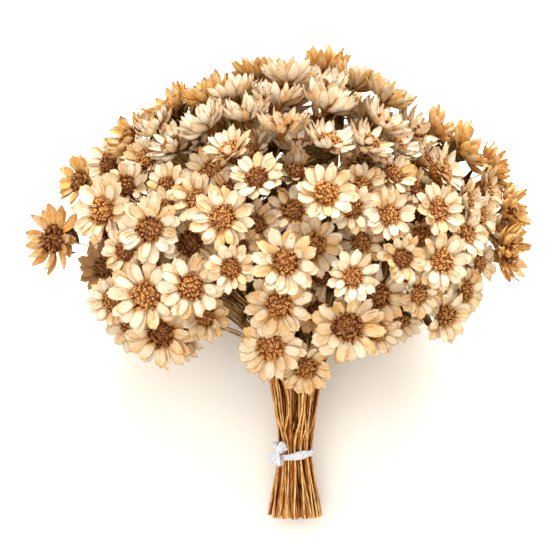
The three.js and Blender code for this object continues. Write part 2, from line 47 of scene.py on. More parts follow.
bunch = {
    "tilt": 24,  # degrees that the stems rise from the floor
    "tieAt": 16,  # mm along the stems from their cut ends
    "throatAt": 33,  # and to where they part
    "middle": (-3, 66),  # of the flowers' dome: across, along
    "reach": (58, 47, 34),  # its half-width, and its length above and below the middle
    "eye": (-3.75, 59, 420),  # where the photograph is seen from: across, along, out
}
upFromFloor = Matrix.Rotation(radians(bunch["tilt"]), 3, "X")


def blend(low, high, value):
    share = min(max((value - low) / (high - low), 0), 1)
    return share * share * (3 - 2 * share)


def around(amount):
    return random.uniform(-amount, amount)


def tint(code):  # a hex colour, as the linear one that Blender's sockets take
    parts = [int(code[i:i + 2], 16) / 255 for i in (0, 2, 4)]
    return (*[p / 12.92 if p <= 0.04045 else ((p + 0.055) / 1.055) ** 2.4 for p in parts], 1)


def addObject(name, data):
    made = bpy.data.objects.new(name, data)
    bpy.context.scene.collection.objects.link(made)
    return made


# Reading the solids. Heads are read from their discs, whose corners stand evenly round one top vertex
headSolid = {
    "weld": 0.002,  # mm between corners that are one
    "evenTo": 0.02,  # mm that the corners of a disc differ by at most
    "discShare": 0.4,  # the disc's radius, as a share of the head's
    "discSlope": (2, 4.8),  # mm from the disc's top to its corners, at least and at most
    "discRise": 0.75,  # mm from the head's middle to the top of its disc
    "rimRise": 0.375,  # and from the disc's rim to its top
    "calyxDepth": 3.4,  # and from the middle down to where the stalk begins
    "hiddenGap": 0.9,  # radians between petals, more than this on a head of the lower side
    "ringSide": 0.8,  # mm, a little over the side of a stem's three-cornered ring
}


def weldedCopy(node):
    welded = bmesh.new()
    welded.from_mesh(node.data)
    bmesh.ops.remove_doubles(welded, verts=welded.verts, dist=headSolid["weld"] * mm)
    welded.verts.index_update()
    welded.verts.ensure_lookup_table()
    return welded


def evenNeighbours(vert):
    others = [edge.other_vert(vert) for edge in vert.link_edges]
    far = {other: (other.co - vert.co).length for other in others}
    even = headSolid["evenTo"] * mm
    return max(([o for o in others if abs(far[o] - far[first]) < even] for first in others), key=len, default=[])


def fitted(ring):  # its corners seen from their middle, the middle, and the normal of their plane
    places = np.array([v.co for v in ring])
    middle = places.mean(axis=0)
    return places - middle, middle, np.linalg.svd(places - middle)[2][2]


def isDisc(top, ring):  # flat, and as far under its top vertex as a disc's rim
    near, far = headSolid["discSlope"]
    if len(ring) < 5 or not near * mm < (ring[0].co - top.co).length < far * mm:
        return False
    corners, middle, normal = fitted(ring)
    rise = abs((np.array(top.co) - middle) @ normal)
    even = headSolid["evenTo"] * mm
    return np.abs(corners @ normal).max() < even and abs(rise - headSolid["rimRise"] * mm) < 1.5 * even


def pointing(head, way):  # out from a head's middle, in its own plane
    return head["first"] * cos(way) + head["second"] * sin(way)


def readHead(welded, top, ring):
    _, middle, normal = fitted(ring)
    face = Vector(normal)
    if (top.co - Vector(middle)).dot(face) < 0:
        face.negate()
    rim = top.co - face * headSolid["rimRise"] * mm
    radius = sum((v.co - rim).length for v in ring) / len(ring) / headSolid["discShare"]
    first = (ring[0].co - rim).normalized()
    head = {"at": top.co - face * headSolid["discRise"] * mm, "face": face, "first": first,
            "second": face.cross(first), "radius": radius, "blades": []}
    turns = [(atan2((v.co - rim).dot(head["second"]), (v.co - rim).dot(first)) % tau, v) for v in ring]
    turns.sort(key=lambda pair: pair[0])
    following = turns[1:] + [(turns[0][0] + tau, turns[0][1])]
    gap = min(b[0] - a[0] for a, b in zip(turns, following))
    root = headSolid["discShare"] * radius * cos(gap / 2)
    for (turn, one), (nextTurn, other) in zip(turns, following):
        edge = welded.edges.get((one, other))
        if not edge or abs(nextTurn - turn - gap) > 0.1:
            continue
        way = (turn + nextTurn) / 2
        outward = pointing(head, way)
        for side in edge.link_faces:
            if top in side.verts:
                continue
            tip = next(v for v in side.verts if v not in edge.verts)
            reach = tip.co - head["at"] - outward * root
            length = reach.length / (radius - root)
            if 0.05 < length < 1.1:
                head["blades"].append((way, atan2(reach.dot(face), reach.dot(outward)), length))
    head.update(root=root, hidden=gap > headSolid["hiddenGap"], blades=head["blades"] or [(0, 0.3, 0.6)])
    return head


def readRings(welded):  # the stems' rings: corners nearer to each other than a petal's
    home = list(range(len(welded.verts)))

    def root(i):
        while home[i] != i:
            home[i] = home[home[i]]
            i = home[i]
        return i

    for edge in welded.edges:
        if edge.calc_length() < headSolid["ringSide"] * mm:
            home[root(edge.verts[0].index)] = root(edge.verts[1].index)
    members = {}
    for vert in welded.verts:
        members.setdefault(root(vert.index), []).append(vert.co)
    rings = {key: sum(group, Vector()) / len(group) for key, group in members.items() if len(group) > 1}
    links = {key: set() for key in rings}
    for edge in welded.edges:
        one, other = root(edge.verts[0].index), root(edge.verts[1].index)
        if one != other and one in rings and other in rings:
            links[one].add(other)
            links[other].add(one)
    return rings, links


def alongStem(place):  # how far up the stems' own direction a place of the floor's frame is
    return place @ (upFromFloor @ Vector((0, 1, 0)))


def routeDown(rings, links, start):
    end = min(rings, key=lambda key: alongStem(rings[key]))
    best = {start: (0, None)}
    queue = [(0, start)]
    while queue:
        length, key = heapq.heappop(queue)
        if key == end:
            break
        for other in links[key]:
            further = length + (rings[other] - rings[key]).length
            if other not in best or further < best[other][0] - 1e-9:
                best[other] = (further, key)
                heapq.heappush(queue, (further, other))
    route, key = [], end if end in best else start
    while key is not None:
        route.append(key)
        key = best[key][1]
    return route  # from the cut end up


def readSpray(name, node):
    welded = weldedCopy(node)
    stars = [(vert, evenNeighbours(vert)) for vert in welded.verts]
    heads = [readHead(welded, vert, ring) for vert, ring in stars if isDisc(vert, ring)]
    rings, links = readRings(welded)
    counts = {}
    for head in heads:
        stalkTop = head["at"] - head["face"] * headSolid["calyxDepth"] * mm
        head["keys"] = routeDown(rings, links, min(rings, key=lambda key: (rings[key] - stalkTop).length))
        head["route"] = [rings[key].copy() for key in head["keys"]]
        for key in head["keys"]:
            counts[key] = counts.get(key, 0) + 1
    for head in heads:
        head["shared"] = max((i for i, key in enumerate(head["keys"]) if counts[key] > 1), default=0)
    welded.free()
    return {"name": name, "heads": heads}


sprays = [readSpray(name, node) for name, node in sorted(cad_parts.items()) if name != "tie"]
heads = [head for spray in sprays for head in spray["heads"]]
foot = sum((spray["heads"][0]["route"][0] for spray in sprays), Vector()) / len(sprays)


def inBunch(place):  # mm in the bunch's own frame: across, along the stems, out of its upper side
    return (upFromFloor.transposed() @ (place - foot)) / mm


def onFloor(place):  # and back
    return upFromFloor @ (Vector(place) * mm) + foot


print(f"read {len(sprays)} sprays with {len(heads)} heads")


# How each head looks: the ones at the top and the sides are golden, the open ones in front are pale
headLook = {
    "cupFrom": 0.45,  # heads more closed than this are cups of slender petals
    "crowd": 14,  # mm round a head where others may shade it
    "single": [  # heads that look different: where they show, within how many mm, and how
        ([(-60.25, 69.25), (53.75, 66), (54, 76.75), (-53.75, 83.75), (8, 112.5), (-9.25, 111), (-30.75, 103.5),
          (-41.75, 96), (-20, 108.5), (34.75, 97.5), (43.75, 94), (51.25, 86), (26.25, 107.75)],
         4.2, {"gold": 0.95, "aged": 0.1}),
        ([(-60.25, 69.25)], 3, {"gold": 0.8, "aged": 0.16, "narrow": True}),
        ([(-48, 62)], 3, {"gold": 1.0, "aged": 0.95}),
        ([(7.75, 80.5), (4.5, 67.5), (16.5, 68.5), (-4, 52.75), (36.5, 63.75), (-6, 42.25)], 3, {"ripe": 0.05}),
        ([(-60.25, 69.25), (-32, 82.25), (-26.25, 68.25), (5.5, 51), (27.5, 65.25), (-42.25, 66.25), (-37.5, 75)],
         3, {"ripe": 0.8}),
    ],
}


def seenFrom(place):  # where a place of the bunch's frame shows on its middle plane
    x, y, height = bunch["eye"]
    stretch = height / (height - place.z)
    return Vector((x + (place.x - x) * stretch, y + (place.y - y) * stretch))


def coveredShare(head):  # 1 where the heads round it stand well above it
    above = [(other["at"] - head["at"]).dot(head["face"]) for other in heads
             if 0 < (other["at"] - head["at"]).length < headLook["crowd"] * mm]
    return blend(2.5 * mm, 8 * mm, max(above, default=0))


for head in heads:
    here = inBunch(head["at"])
    shown = seenFrom(here)
    upward = here.y - bunch["middle"][1]
    share = hypot((here.x - bunch["middle"][0]) / bunch["reach"][0],
                       upward / bunch["reach"][1 if upward > 0 else 2])
    towards = inBunch(head["face"] * mm + foot).z  # 1 looks straight at the eye
    covered = coveredShare(head)
    closed = max(blend(76, 104, here.y), 0.7 * blend(44, 54, here.x))
    gold = 0.03 + 0.75 * blend(0.86, 1.02, share) + around(0.12)
    # painted light: closing pushes a head's gold below zero, which paints its petals paler, where the lamps leave
    # the cups dim
    gold -= 0.2 * closed * blend(1.0, 0.86, share)
    # painted shade: heads that turn from the eye and heads that others stand over are golder, so that their shade
    # reads warm
    gold += 0.06 * blend(0.4, -0.3, towards) + 0.16 * covered
    # aged is a head's age together with painted shade on heads that others stand over
    head.update(closed=closed, cup=closed > headLook["cupFrom"], gold=gold, narrow=False,
                aged=0.08 * covered + 0.05 * random.random(), ripe=random.triangular(0.0, 0.9, 0.28))
    for places, reach, look in headLook["single"]:
        if any((shown - Vector(place)).length < reach for place in places):
            head.update(look)
    head["gold"] = min(max(head["gold"], -0.3), 1)
    head["turn"] = random.uniform(0, tau)


# Node trees. A shade is a value or a colour in one, and sums and products of shades add their nodes
def addNode(tree, kind, inputs, **settings):
    node = tree.nodes.new(kind)
    node.location = (190 * len(tree.nodes), 0)
    for key, value in settings.items():
        setattr(node, key, value)
    for key, value in inputs.items():
        value = value.socket if isinstance(value, Shade) else value
        if isinstance(value, bpy.types.NodeSocket):
            tree.links.new(value, node.inputs[key])
        else:
            node.inputs[key].default_value = value
    return node


def newTree(name, kind, inputs, outputs):
    tree = bpy.data.node_groups.new(name, kind)
    for way, sockets in (("INPUT", inputs), ("OUTPUT", outputs)):
        for label, socketKind, *value in sockets:
            socket = tree.interface.new_socket(label, in_out=way, socket_type="NodeSocket" + socketKind)
            if value:
                socket.default_value = value[0]
    return tree, {socket.name: Shade(tree, socket) for socket in addNode(tree, "NodeGroupInput", {}).outputs}


class Shade:
    def __init__(self, tree, socket):
        self.tree, self.socket = tree, socket

    def through(self, kind, inputs, output=0, **settings):
        return Shade(self.tree, addNode(self.tree, kind, inputs, **settings).outputs[output])

    def maths(self, operation, other=0.0):
        return self.through("ShaderNodeMath", {0: self, 1: other}, operation=operation)

    def __add__(self, other):
        return self.maths("ADD", other)

    def __mul__(self, other):
        return self.maths("MULTIPLY", other)

    def clamped(self):
        self.socket.node.use_clamp = True
        return self

    def ramp(self, low, high, outLow=0.0, outHigh=1.0):
        return self.through("ShaderNodeMapRange", {0: self, 1: low, 2: high, 3: outLow, 4: outHigh},
                            interpolation_type="SMOOTHSTEP")

    def painted(self, *layers):  # with colours over it, each on a share of what is under it
        colour = self
        for share, other in layers:
            other = tint(other) if isinstance(other, str) else other
            colour = self.through("ShaderNodeMix", {0: share, 6: colour, 7: other}, 2, data_type="RGBA")
        return colour


# Growing things: a tree sets shapes on points that say how each is turned, stretched and picked
def namedValue(tree, name, kind):
    return addNode(tree, "GeometryNodeInputNamedAttribute", {"Name": name}, data_type=kind).outputs["Attribute"]


def storedValue(tree, points, name, value):
    return addNode(tree, "GeometryNodeStoreNamedAttribute", {"Geometry": points, "Name": name, "Value": value},
                   data_type="FLOAT", domain="POINT").outputs[0]


def finishTree(tree, made, material):
    real = addNode(tree, "GeometryNodeRealizeInstances", {"Geometry": made.outputs[0]})
    worn = addNode(tree, "GeometryNodeSetMaterial", {"Geometry": real.outputs[0], "Material": material})
    addNode(tree, "NodeGroupOutput", {"Geometry": worn.outputs[0]})
    return tree


def makeScatterTree():
    tree, given = newTree("setOnPoints", "GeometryNodeTree", [
        ("Geometry", "Geometry"), ("Shapes", "Collection"), ("Finish", "Material"), ("Size", "Float", 1.0),
        ("Tone name", "String", "tone"), ("Seed", "Int", 1)], [("Geometry", "Geometry")])
    chance = addNode(tree, "FunctionNodeRandomValue", {"Seed": given["Seed"]}, data_type="FLOAT")
    toned = storedValue(tree, given["Geometry"], given["Tone name"], chance.outputs[1])
    turned = addNode(tree, "FunctionNodeEulerToRotation", {"Euler": namedValue(tree, "turn", "FLOAT_VECTOR")})
    sized = addNode(tree, "ShaderNodeVectorMath", {
        "Vector": namedValue(tree, "stretch", "FLOAT_VECTOR"), "Scale": given["Size"]}, operation="SCALE")
    shapes = addNode(tree, "GeometryNodeCollectionInfo", {
        "Collection": given["Shapes"], "Separate Children": True, "Reset Children": True})
    placed = addNode(tree, "GeometryNodeInstanceOnPoints", {
        "Points": toned, "Instance": shapes.outputs[0], "Pick Instance": True,
        "Instance Index": namedValue(tree, "shape", "INT"), "Rotation": turned.outputs[0],
        "Scale": sized.outputs[0]})
    return finishTree(tree, placed, given["Finish"])


def makeStemTree():
    tree, given = newTree("stemsFromLines", "GeometryNodeTree", [
        ("Geometry", "Geometry"), ("Finish", "Material"), ("Thickness", "Float", 1.0), ("Sides", "Int", 6)],
        [("Geometry", "Geometry")])
    lines = addNode(tree, "GeometryNodeMeshToCurve", {"Mesh": given["Geometry"]})
    outline = addNode(tree, "GeometryNodeCurvePrimitiveCircle", {"Resolution": given["Sides"], "Radius": 1.0})
    turn = addNode(tree, "GeometryNodeSplineParameter", {}).outputs["Factor"]
    thick = addNode(tree, "ShaderNodeMath", {0: namedValue(tree, "thick", "FLOAT"), 1: given["Thickness"]},
                    operation="MULTIPLY")
    solid = addNode(tree, "GeometryNodeCurveToMesh", {
        "Curve": lines.outputs[0], "Profile Curve": storedValue(tree, outline.outputs[0], "round", turn),
        "Scale": thick.outputs[0], "Fill Caps": True})
    return finishTree(tree, solid, given["Finish"])


scatterTree = makeScatterTree()
stemTree = makeStemTree()


def setValues(mesh, values):  # of each point
    kinds = {float: "FLOAT", int: "INT", tuple: "FLOAT_VECTOR"}
    for key, column in values.items():
        kind = kinds[type(column[0])]
        layer = mesh.attributes.new(key, kind, "POINT")
        layer.data.foreach_set("vector" if kind == "FLOAT_VECTOR" else "value", np.ravel(column).tolist())
    return mesh


def meshWith(name, places, edges, values):  # points or lines that carry values
    mesh = bpy.data.meshes.new(name)
    mesh.from_pydata(places, edges, [])
    return setValues(mesh, values)


def grown(name, mesh, tree, settings):  # the plain mesh that a tree makes of this one
    source = addObject(name + "Source", mesh)
    grower = source.modifiers.new("grow", "NODES")
    grower.node_group = tree
    for item in tree.interface.items_tree:
        if item.in_out == "INPUT" and item.name in settings:
            grower[item.identifier] = settings[item.name]
    depsgraph = bpy.context.evaluated_depsgraph_get()
    made = bpy.data.meshes.new_from_object(source.evaluated_get(depsgraph), preserve_all_data_layers=True,
                                           depsgraph=depsgraph)
    made.name = name
    source.modifiers.remove(grower)
    bpy.data.objects.remove(source)
    return made


class Scatter:  # the points that one kind of thing is set on
    def __init__(self):
        self.places, self.rows = [], []

    def add(self, place, alongWay, upWay, stretch, shape, gold, ripe=0.5):
        along = alongWay.normalized()
        across = upWay.cross(along).normalized()
        turn = Matrix((along, across, along.cross(across))).transposed().to_euler()
        self.places.append(place)
        self.rows.append((tuple(turn), tuple(stretch), shape, float(gold), float(ripe)))

    def grow(self, name, shapes, finish, seed, toneName="tone"):
        values = dict(zip(("turn", "stretch", "shape", "gold", "ripe"), zip(*self.rows)))
        return grown(name, meshWith(name + "Points", self.places, [], values), scatterTree,
                     {"Shapes": shapes, "Finish": finish, "Seed": seed, "Tone name": toneName})


def shapeCollection(name, meshes):  # numbered, because they are picked in the order of their names
    kept = bpy.data.collections.new(name)
    for i, mesh in enumerate(meshes):
        kept.objects.link(bpy.data.objects.new(f"{name}{i:02d}", mesh))
    return kept


def closedMesh(name, verts, faces, values, smooth=True, rims=()):  # a shape of its own, with its faces outwards
    shape = bmesh.new()
    made = [shape.verts.new(place) for place in verts]
    for corners in faces:
        shape.faces.new([made[i] for i in corners])
    bmesh.ops.recalc_face_normals(shape, faces=shape.faces)
    for one, other in rims:
        shape.edges.get((made[one], made[other])).smooth = False
    for face in shape.faces:
        face.smooth = smooth
    mesh = bpy.data.meshes.new(name)
    shape.verts.index_update()
    shape.to_mesh(mesh)
    shape.free()
    return setValues(mesh, values)


def ringFaces(sides, rings, start=0, closed=False):  # between rings of corners that follow each other
    pairs = [(start + i * sides, start + (i + 1) % rings * sides) for i in range(rings if closed else rings - 1)]
    return [(a + k, a + (k + 1) % sides, b + (k + 1) % sides, b + k) for a, b in pairs for k in range(sides)]


def fan(first, sides, tip):
    return [(first + k, first + (k + 1) % sides, tip) for k in range(sides)]


def circle(sides):
    return [(cos(k / sides * tau), sin(k / sides * tau)) for k in range(sides)]


def leaned(x, y, z, lean):
    return x, y * cos(lean) - z * sin(lean), z * cos(lean) + y * sin(lean)


def joinMeshes(name, meshes):
    pieces = [addObject(name, mesh) for mesh in meshes]
    with bpy.context.temp_override(active_object=pieces[0], object=pieces[0], selected_objects=pieces,
                                   selected_editable_objects=pieces):
        bpy.ops.object.join()
    whole = pieces[0].data
    whole.name = name
    bpy.data.objects.remove(pieces[0])
    return whole


# Shared effects of the dry surfaces
def cloud(tree, place, scale, detail=2.0, roughness=0.5):
    node = addNode(tree, "ShaderNodeTexNoise", {"Vector": place, "Scale": scale, "Detail": detail,
                                                "Roughness": roughness})
    return Shade(tree, node.outputs[0])


def makeFibres():  # fine dry fibres that run along a blade or a stem
    tree, given = newTree("dryFibres", "ShaderNodeTree", [
        ("Along", "Float", 0.0), ("Across", "Float", 0.0), ("Own", "Float", 0.0), ("Fineness", "Float", 6.0),
        ("Length", "Float", 1.0)], [("Streak", "Float"), ("Vein", "Float")])
    place = addNode(tree, "ShaderNodeCombineXYZ", {
        0: given["Across"] * given["Fineness"], 1: given["Along"] * given["Length"], 2: given["Own"] * 71.0})
    addNode(tree, "NodeGroupOutput", {
        "Streak": cloud(tree, place.outputs[0], 1.0, 3.0, 0.6).ramp(0.3, 0.7),
        "Vein": cloud(tree, place.outputs[0], 3.1).ramp(0.35, 0.65)})
    return tree


def makeMottle():  # soft uneven drying and a few brown specks
    tree, given = newTree("dryMottle", "ShaderNodeTree", [
        ("Vector", "Vector"), ("Scale", "Float", 400.0), ("Specks", "Float", 0.7)],
        [("Mottle", "Float"), ("Speck", "Float")])
    addNode(tree, "NodeGroupOutput", {
        "Mottle": cloud(tree, given["Vector"], given["Scale"], 3.0, 0.55).ramp(0.32, 0.68),
        "Speck": cloud(tree, given["Vector"], given["Scale"] * 3.7).ramp(given["Specks"], given["Specks"] + 0.08)})
    return tree


fibres = makeFibres()
mottle = makeMottle()


class Finish:  # a material in the making
    def __init__(self, name, roughness, specular=0.3):
        self.material = bpy.data.materials.new(name)
        self.material.use_nodes = True
        self.tree = self.material.node_tree
        self.shader = self.tree.nodes["Principled BSDF"]
        self.set({"Roughness": roughness, "Specular IOR Level": specular})

    def set(self, values):
        for name, value in values.items():
            self.shader.inputs[name].default_value = value

    def value(self, name):
        return Shade(self.tree, addNode(self.tree, "ShaderNodeAttribute", {}, attribute_name=name).outputs["Fac"])

    def parts(self, name):  # the three numbers of an attribute
        whole = addNode(self.tree, "ShaderNodeAttribute", {}, attribute_name=name).outputs["Vector"]
        return [Shade(self.tree, part) for part in addNode(self.tree, "ShaderNodeSeparateXYZ", {0: whole}).outputs]

    def colour(self, code):
        return Shade(self.tree, tint(code))

    def place(self):
        return addNode(self.tree, "ShaderNodeTexCoord", {}).outputs["Object"]

    def effect(self, group, inputs):
        node = addNode(self.tree, "ShaderNodeGroup", inputs, node_tree=group)
        return [Shade(self.tree, output) for output in node.outputs]

    def fibred(self, along, across, own, fineness, length):
        return self.effect(fibres, {"Along": along, "Across": across, "Own": own, "Fineness": fineness,
                                    "Length": length})

    def mottled(self, scale, specks):
        return self.effect(mottle, {"Vector": self.place(), "Scale": scale, "Specks": specks})

    def made(self, colour, roughness=None, height=None, strength=0.5, distance=0.1):  # the distance in mm
        links = {"Base Color": colour.socket}
        if roughness:
            bump = addNode(self.tree, "ShaderNodeBump", {"Strength": strength, "Distance": distance * mm,
                                                         "Height": height})
            links.update({"Roughness": roughness.socket, "Normal": bump.outputs[0]})
        for name, socket in links.items():
            self.tree.links.new(socket, self.shader.inputs[name])
        return self.material


# Petals
petalStyle = {
    "open": (12, 8),  # petals in an open head's outer and inner layer
    "hidden": (9, 6),  # and on the lower side
    # rows of a half-closed head, from the lowest in: petals, rise in degrees, reach, where they start out
    # (of the radius) and up (mm), width, and how much golder they are
    "cup": [(7, -14, 0.62, 0.14, -2.0, 1.1, 0.3), (10, -9, 1.04, 0.22, -1.5, 1.45, -0.04),
            (9, 8, 1.06, 0.26, -0.9, 1.45, -0.14), (8, 23, 0.98, 0.26, -0.3, 1.3, -0.2)],
    "hiddenCup": 0.7,  # as many petals in the rows on the lower side
    "narrow": [(11, 2, 1.06, 0.3, -0.3, 1.5), (7, 16, 0.92, 0.3, 0.2, 1.35)],
    "broad": 0.32,  # half-width of an open head's petals, of their length
    "slender": 0.175,  # and of a cup's
    "thickness": 0.013,
    "ruff": 0.3,  # chance of each of eight short curled petals under the outer ones
    "stray": 0.07,  # chance that a petal stands up or droops
    "strayRises": [-22, 26, 38],
    # painted light: the paler cream of petals whose gold is below zero, mostly the cups'
    "paintedLight": "F2E6D0",
    "cream": "E6D9C1",
    "tan": "DEB26F",
    "root": "AA6C26",
    "edge": "A86A28",
    "brown": "653610",
    "shaded": "98581A",  # painted shade for petals deep in the bunch, and the browning of an aged head
    "withered": "9A7650",
}

petalAcross = [-1, -0.5, 0, 0.5, 1]
petalOutlines = {
    "broad": [(0, 0.4), (0.1, 0.55), (0.25, 0.78), (0.42, 0.94), (0.59, 1.0), (0.75, 0.92), (0.88, 0.68),
              (0.97, 0.34)],
    "slender": [(0, 0.5), (0.1, 0.62), (0.25, 0.8), (0.42, 0.96), (0.58, 1.0), (0.74, 0.84), (0.88, 0.52),
                (0.97, 0.2)],
}
petalTips = {  # how far the tip's five corners reach on
    "pointed": [-0.05, 0.0, 0.06, 0.0, -0.05],
    "blunt": [-0.06, 0.01, 0.03, 0.01, -0.05],
    "notched": [-0.05, 0.04, -0.02, 0.035, -0.06],
    "ragged": [-0.07, 0.035, 0.0, 0.06, -0.03],
}


def petalShape(name, outline, tip, hollow, arch, curl, twist, ruffle):
    verts, blade, ring = [], [], 7
    stations, thin = petalOutlines[outline], petalStyle["thickness"]
    for i, (t, share) in enumerate(stations):
        middle = arch * sin(pi * t * 0.92) + curl * t ** 3
        reach = petalTips[tip] if i == len(stations) - 1 else [0] * 5
        columns = [(a, reach[k], 1.0, 0) for k, a in enumerate(petalAcross)] + [
            (0.5, reach[3], -1.0, -thin), (-0.5, reach[1], -1.0, -thin)]
        for across, further, side, under in columns:
            ragged = 1 + ruffle * sin(12 * t + (1 if across > 0 else 4)) * abs(across)
            y = petalStyle[outline] * share * across * ragged
            wave = ruffle * 0.5 * sin(9 * t + 2.4 * across) * across ** 2
            z = middle + hollow * across ** 2 * share + wave + under + 0.01 * cos(6 * across)
            verts.append(leaned(t + further, y, z, twist * t ** 1.5))
            blade.append((t, float(across), side if abs(across) < 1 else 0.3))
    last = len(verts) - ring
    faces = ringFaces(ring, len(stations)) + [
        (last, last + 1, last + 6), (last + 1, last + 2, last + 5, last + 6), (last + 2, last + 3, last + 5),
        (last + 3, last + 4, last + 5), tuple(range(ring))]
    rims = [(i + k, i + k + ring) for i in range(0, last, ring) for k in (0, 4)]
    return closedMesh(name, verts, faces, {"blade": blade}, rims=rims)


petalShapes = shapeCollection("petal", [petalShape(*row) for row in (  # hollow, arch, curl, twist, ruffle
    ("broadFlat", "broad", "blunt", 0.03, 0.02, -0.04, 0.05, 0.03),
    ("broadPointed", "broad", "pointed", 0.06, -0.03, 0.05, -0.08, 0.04),
    ("broadNotched", "broad", "notched", 0.04, 0.05, -0.1, 0.1, 0.05),
    ("broadRagged", "broad", "ragged", 0.07, 0.02, 0.03, 0.24, 0.07),
    ("broadFolded", "broad", "pointed", 0.17, 0.0, 0.03, -0.16, 0.04),
    ("slimFlat", "slender", "pointed", 0.04, -0.15, 0.0, 0.08, 0.03),
    ("slimBowed", "slender", "blunt", 0.07, -0.2, 0.04, -0.12, 0.04),
    ("slimRagged", "slender", "ragged", 0.09, -0.14, -0.05, 0.3, 0.06),
    ("slimFolded", "slender", "pointed", 0.16, -0.18, 0.06, -0.2, 0.04),
)])
broadShapes, slimShapes, ruffShapes = [0, 0, 1, 1, 2, 3, 4], [5, 6, 6, 7, 8], [1, 2, 3]


def makePetalFinish():
    finish = Finish("driedPetal", 0.62, 0.18)
    finish.set({"Subsurface Weight": 0.2, "Subsurface Radius": (1.0, 0.6, 0.3), "Subsurface Scale": 0.25 * mm})
    along, across, side = finish.parts("blade")
    tone, gold, aged = [finish.value(name) for name in ("tone", "gold", "ripe")]
    streak, vein = finish.fibred(along, across, tone, 4.6, 1.2)
    mottled, speck = finish.mottled(300.0, 0.64)
    under = side.ramp(0.6, -0.6)  # 1 on the outer face of a petal
    atRoot, atTip = along.ramp(0.32, 0.0), along.ramp(0.86, 0.99)
    atEdge = across.maths("ABSOLUTE").ramp(0.7, 1.0)
    golden = (gold * 0.85 + atRoot * 0.5 + under * 0.05 + tone.ramp(0.0, 1.0, -0.22, 0.3)
              + streak.ramp(0.0, 1.0, -0.14, 0.3) + mottled.ramp(0.0, 1.0, -0.16, 0.32)).clamped()
    # the edges' own tan, darkened partly as painted shade where petals overlap
    edgeTanAndShade = atEdge * mottled.ramp(0.0, 0.8, 0.3, 0.85)
    colour = finish.colour(petalStyle["cream"]).painted(
        # painted light where gold is below zero
        (gold.ramp(0.0, -0.25), petalStyle["paintedLight"]),
        (golden, petalStyle["tan"]),
        # the root's tan is the petals' own, and its darkening partly painted shade between the petals' bases
        (atRoot * streak.ramp(0.2, 0.9, 0.25, 0.85), petalStyle["root"]),
        (edgeTanAndShade.maths("MAXIMUM", atTip * vein.ramp(0.2, 0.9, 0.2, 0.8)), petalStyle["edge"]),
        (vein.ramp(0.45, 1.0) * golden.ramp(0.0, 1.0, 0.12, 0.5), petalStyle["edge"]),
        (speck * 0.4, petalStyle["brown"]),
        # painted shade on heads that others stand over, and the browning of aged heads
        (aged * 0.9, petalStyle["shaded"]),
        (aged.ramp(0.5, 1.0), petalStyle["withered"]))
    return finish.made(colour, streak.ramp(0.0, 1.0, 0.5, 0.74), streak + vein * 0.5, 0.6, 0.14)


def bladeAt(head, way):  # rise and length of the solid's petals, between the two nearest
    def gap(blade):
        return abs((blade[0] - way + pi) % tau - pi)

    ranked = sorted(head["blades"], key=gap)[:2]
    weights = [1 / (gap(blade) + 0.01) for blade in ranked]
    return [sum(b[k] * w for b, w in zip(ranked, weights)) / sum(weights) for k in (1, 2)]


def petalLayer(points, head, shapes, count, rise, share, start, lift, widen=1.0, golder=0.0):
    turn = random.uniform(0, tau)
    blade = head["radius"] - head["root"]
    for i in range(count):
        way = turn + (i + around(0.24)) / count * tau
        solidRise, solidLength = bladeAt(head, way)
        stray = random.choice(petalStyle["strayRises"]) if random.random() < petalStyle["stray"] else 0
        up = solidRise + radians(rise + stray + around(7 + 6 * head["closed"]))
        reach = blade * max(solidLength, 0.64) * share * (1 + around(0.09 + 0.05 * head["closed"]))
        outward = pointing(head, way)
        base = outward * head["radius"] * start + head["face"] * lift * mm
        tip = outward * (head["root"] + reach * cos(up)) + head["face"] * reach * sin(up)
        along = tip - base
        inner = head["face"] - along.normalized() * head["face"].dot(along.normalized())
        roll = radians(8 + around(16))
        inner = Matrix.Rotation(roll, 3, along.normalized()) @ inner.normalized()
        broad = blade * (1 + around(0.12)) * widen * (0.75 + 0.25 * solidLength)
        stretch = (along.length, broad, 0.5 * (along.length + broad))
        tone = head["gold"] + golder + around(0.09)
        points.add(head["at"] + base, along, inner, stretch, random.choice(shapes), tone, head["aged"])


def addPetals(points, head):
    closed = head["closed"]
    if head["cup"]:
        fewer = petalStyle["hiddenCup"] if head["hidden"] else 1
        for count, *layer in petalStyle["cup"]:
            petalLayer(points, head, slimShapes, round(count * fewer), *layer)
    elif head["narrow"]:
        for layer in petalStyle["narrow"]:
            petalLayer(points, head, slimShapes, *layer)
    else:
        outer, inner = petalStyle["hidden" if head["hidden"] else "open"]
        wide = (13 / outer) ** 0.6 * (1 - 0.3 * closed)
        low = closed * 1.6
        petalLayer(points, head, broadShapes, outer, 0, 1.1, 0.345 - 0.1 * closed, -0.15 - low, 0.98 * wide)
        petalLayer(points, head, broadShapes, inner, 12, 0.95, 0.33, 0.25 - 0.5 * low, 0.8 * wide)
        ruff = sum(random.random() < petalStyle["ruff"] for _ in range(8))
        if ruff:
            petalLayer(points, head, ruffShapes, ruff, -26, 0.6, 0.3, -0.8, 0.7, 0.3)


# Hearts: a crowded dome of tiny curled florets
heartStyle = {
    "florets": 58,
    "hiddenFlorets": 36,
    "rise": 0.34,  # of the disc's radius
    "fall": 2.6,  # how flat the dome is before it falls to its rim
    "depth": 0.4,  # how far it reaches down into the calyx
    "golden": "D6A868",
    "ripe": "8E5024",
    "dark": "34150A",
    "pale": "EFCB92",
}


def heartRise(r):
    return heartStyle["rise"] * (1 - r ** heartStyle["fall"])


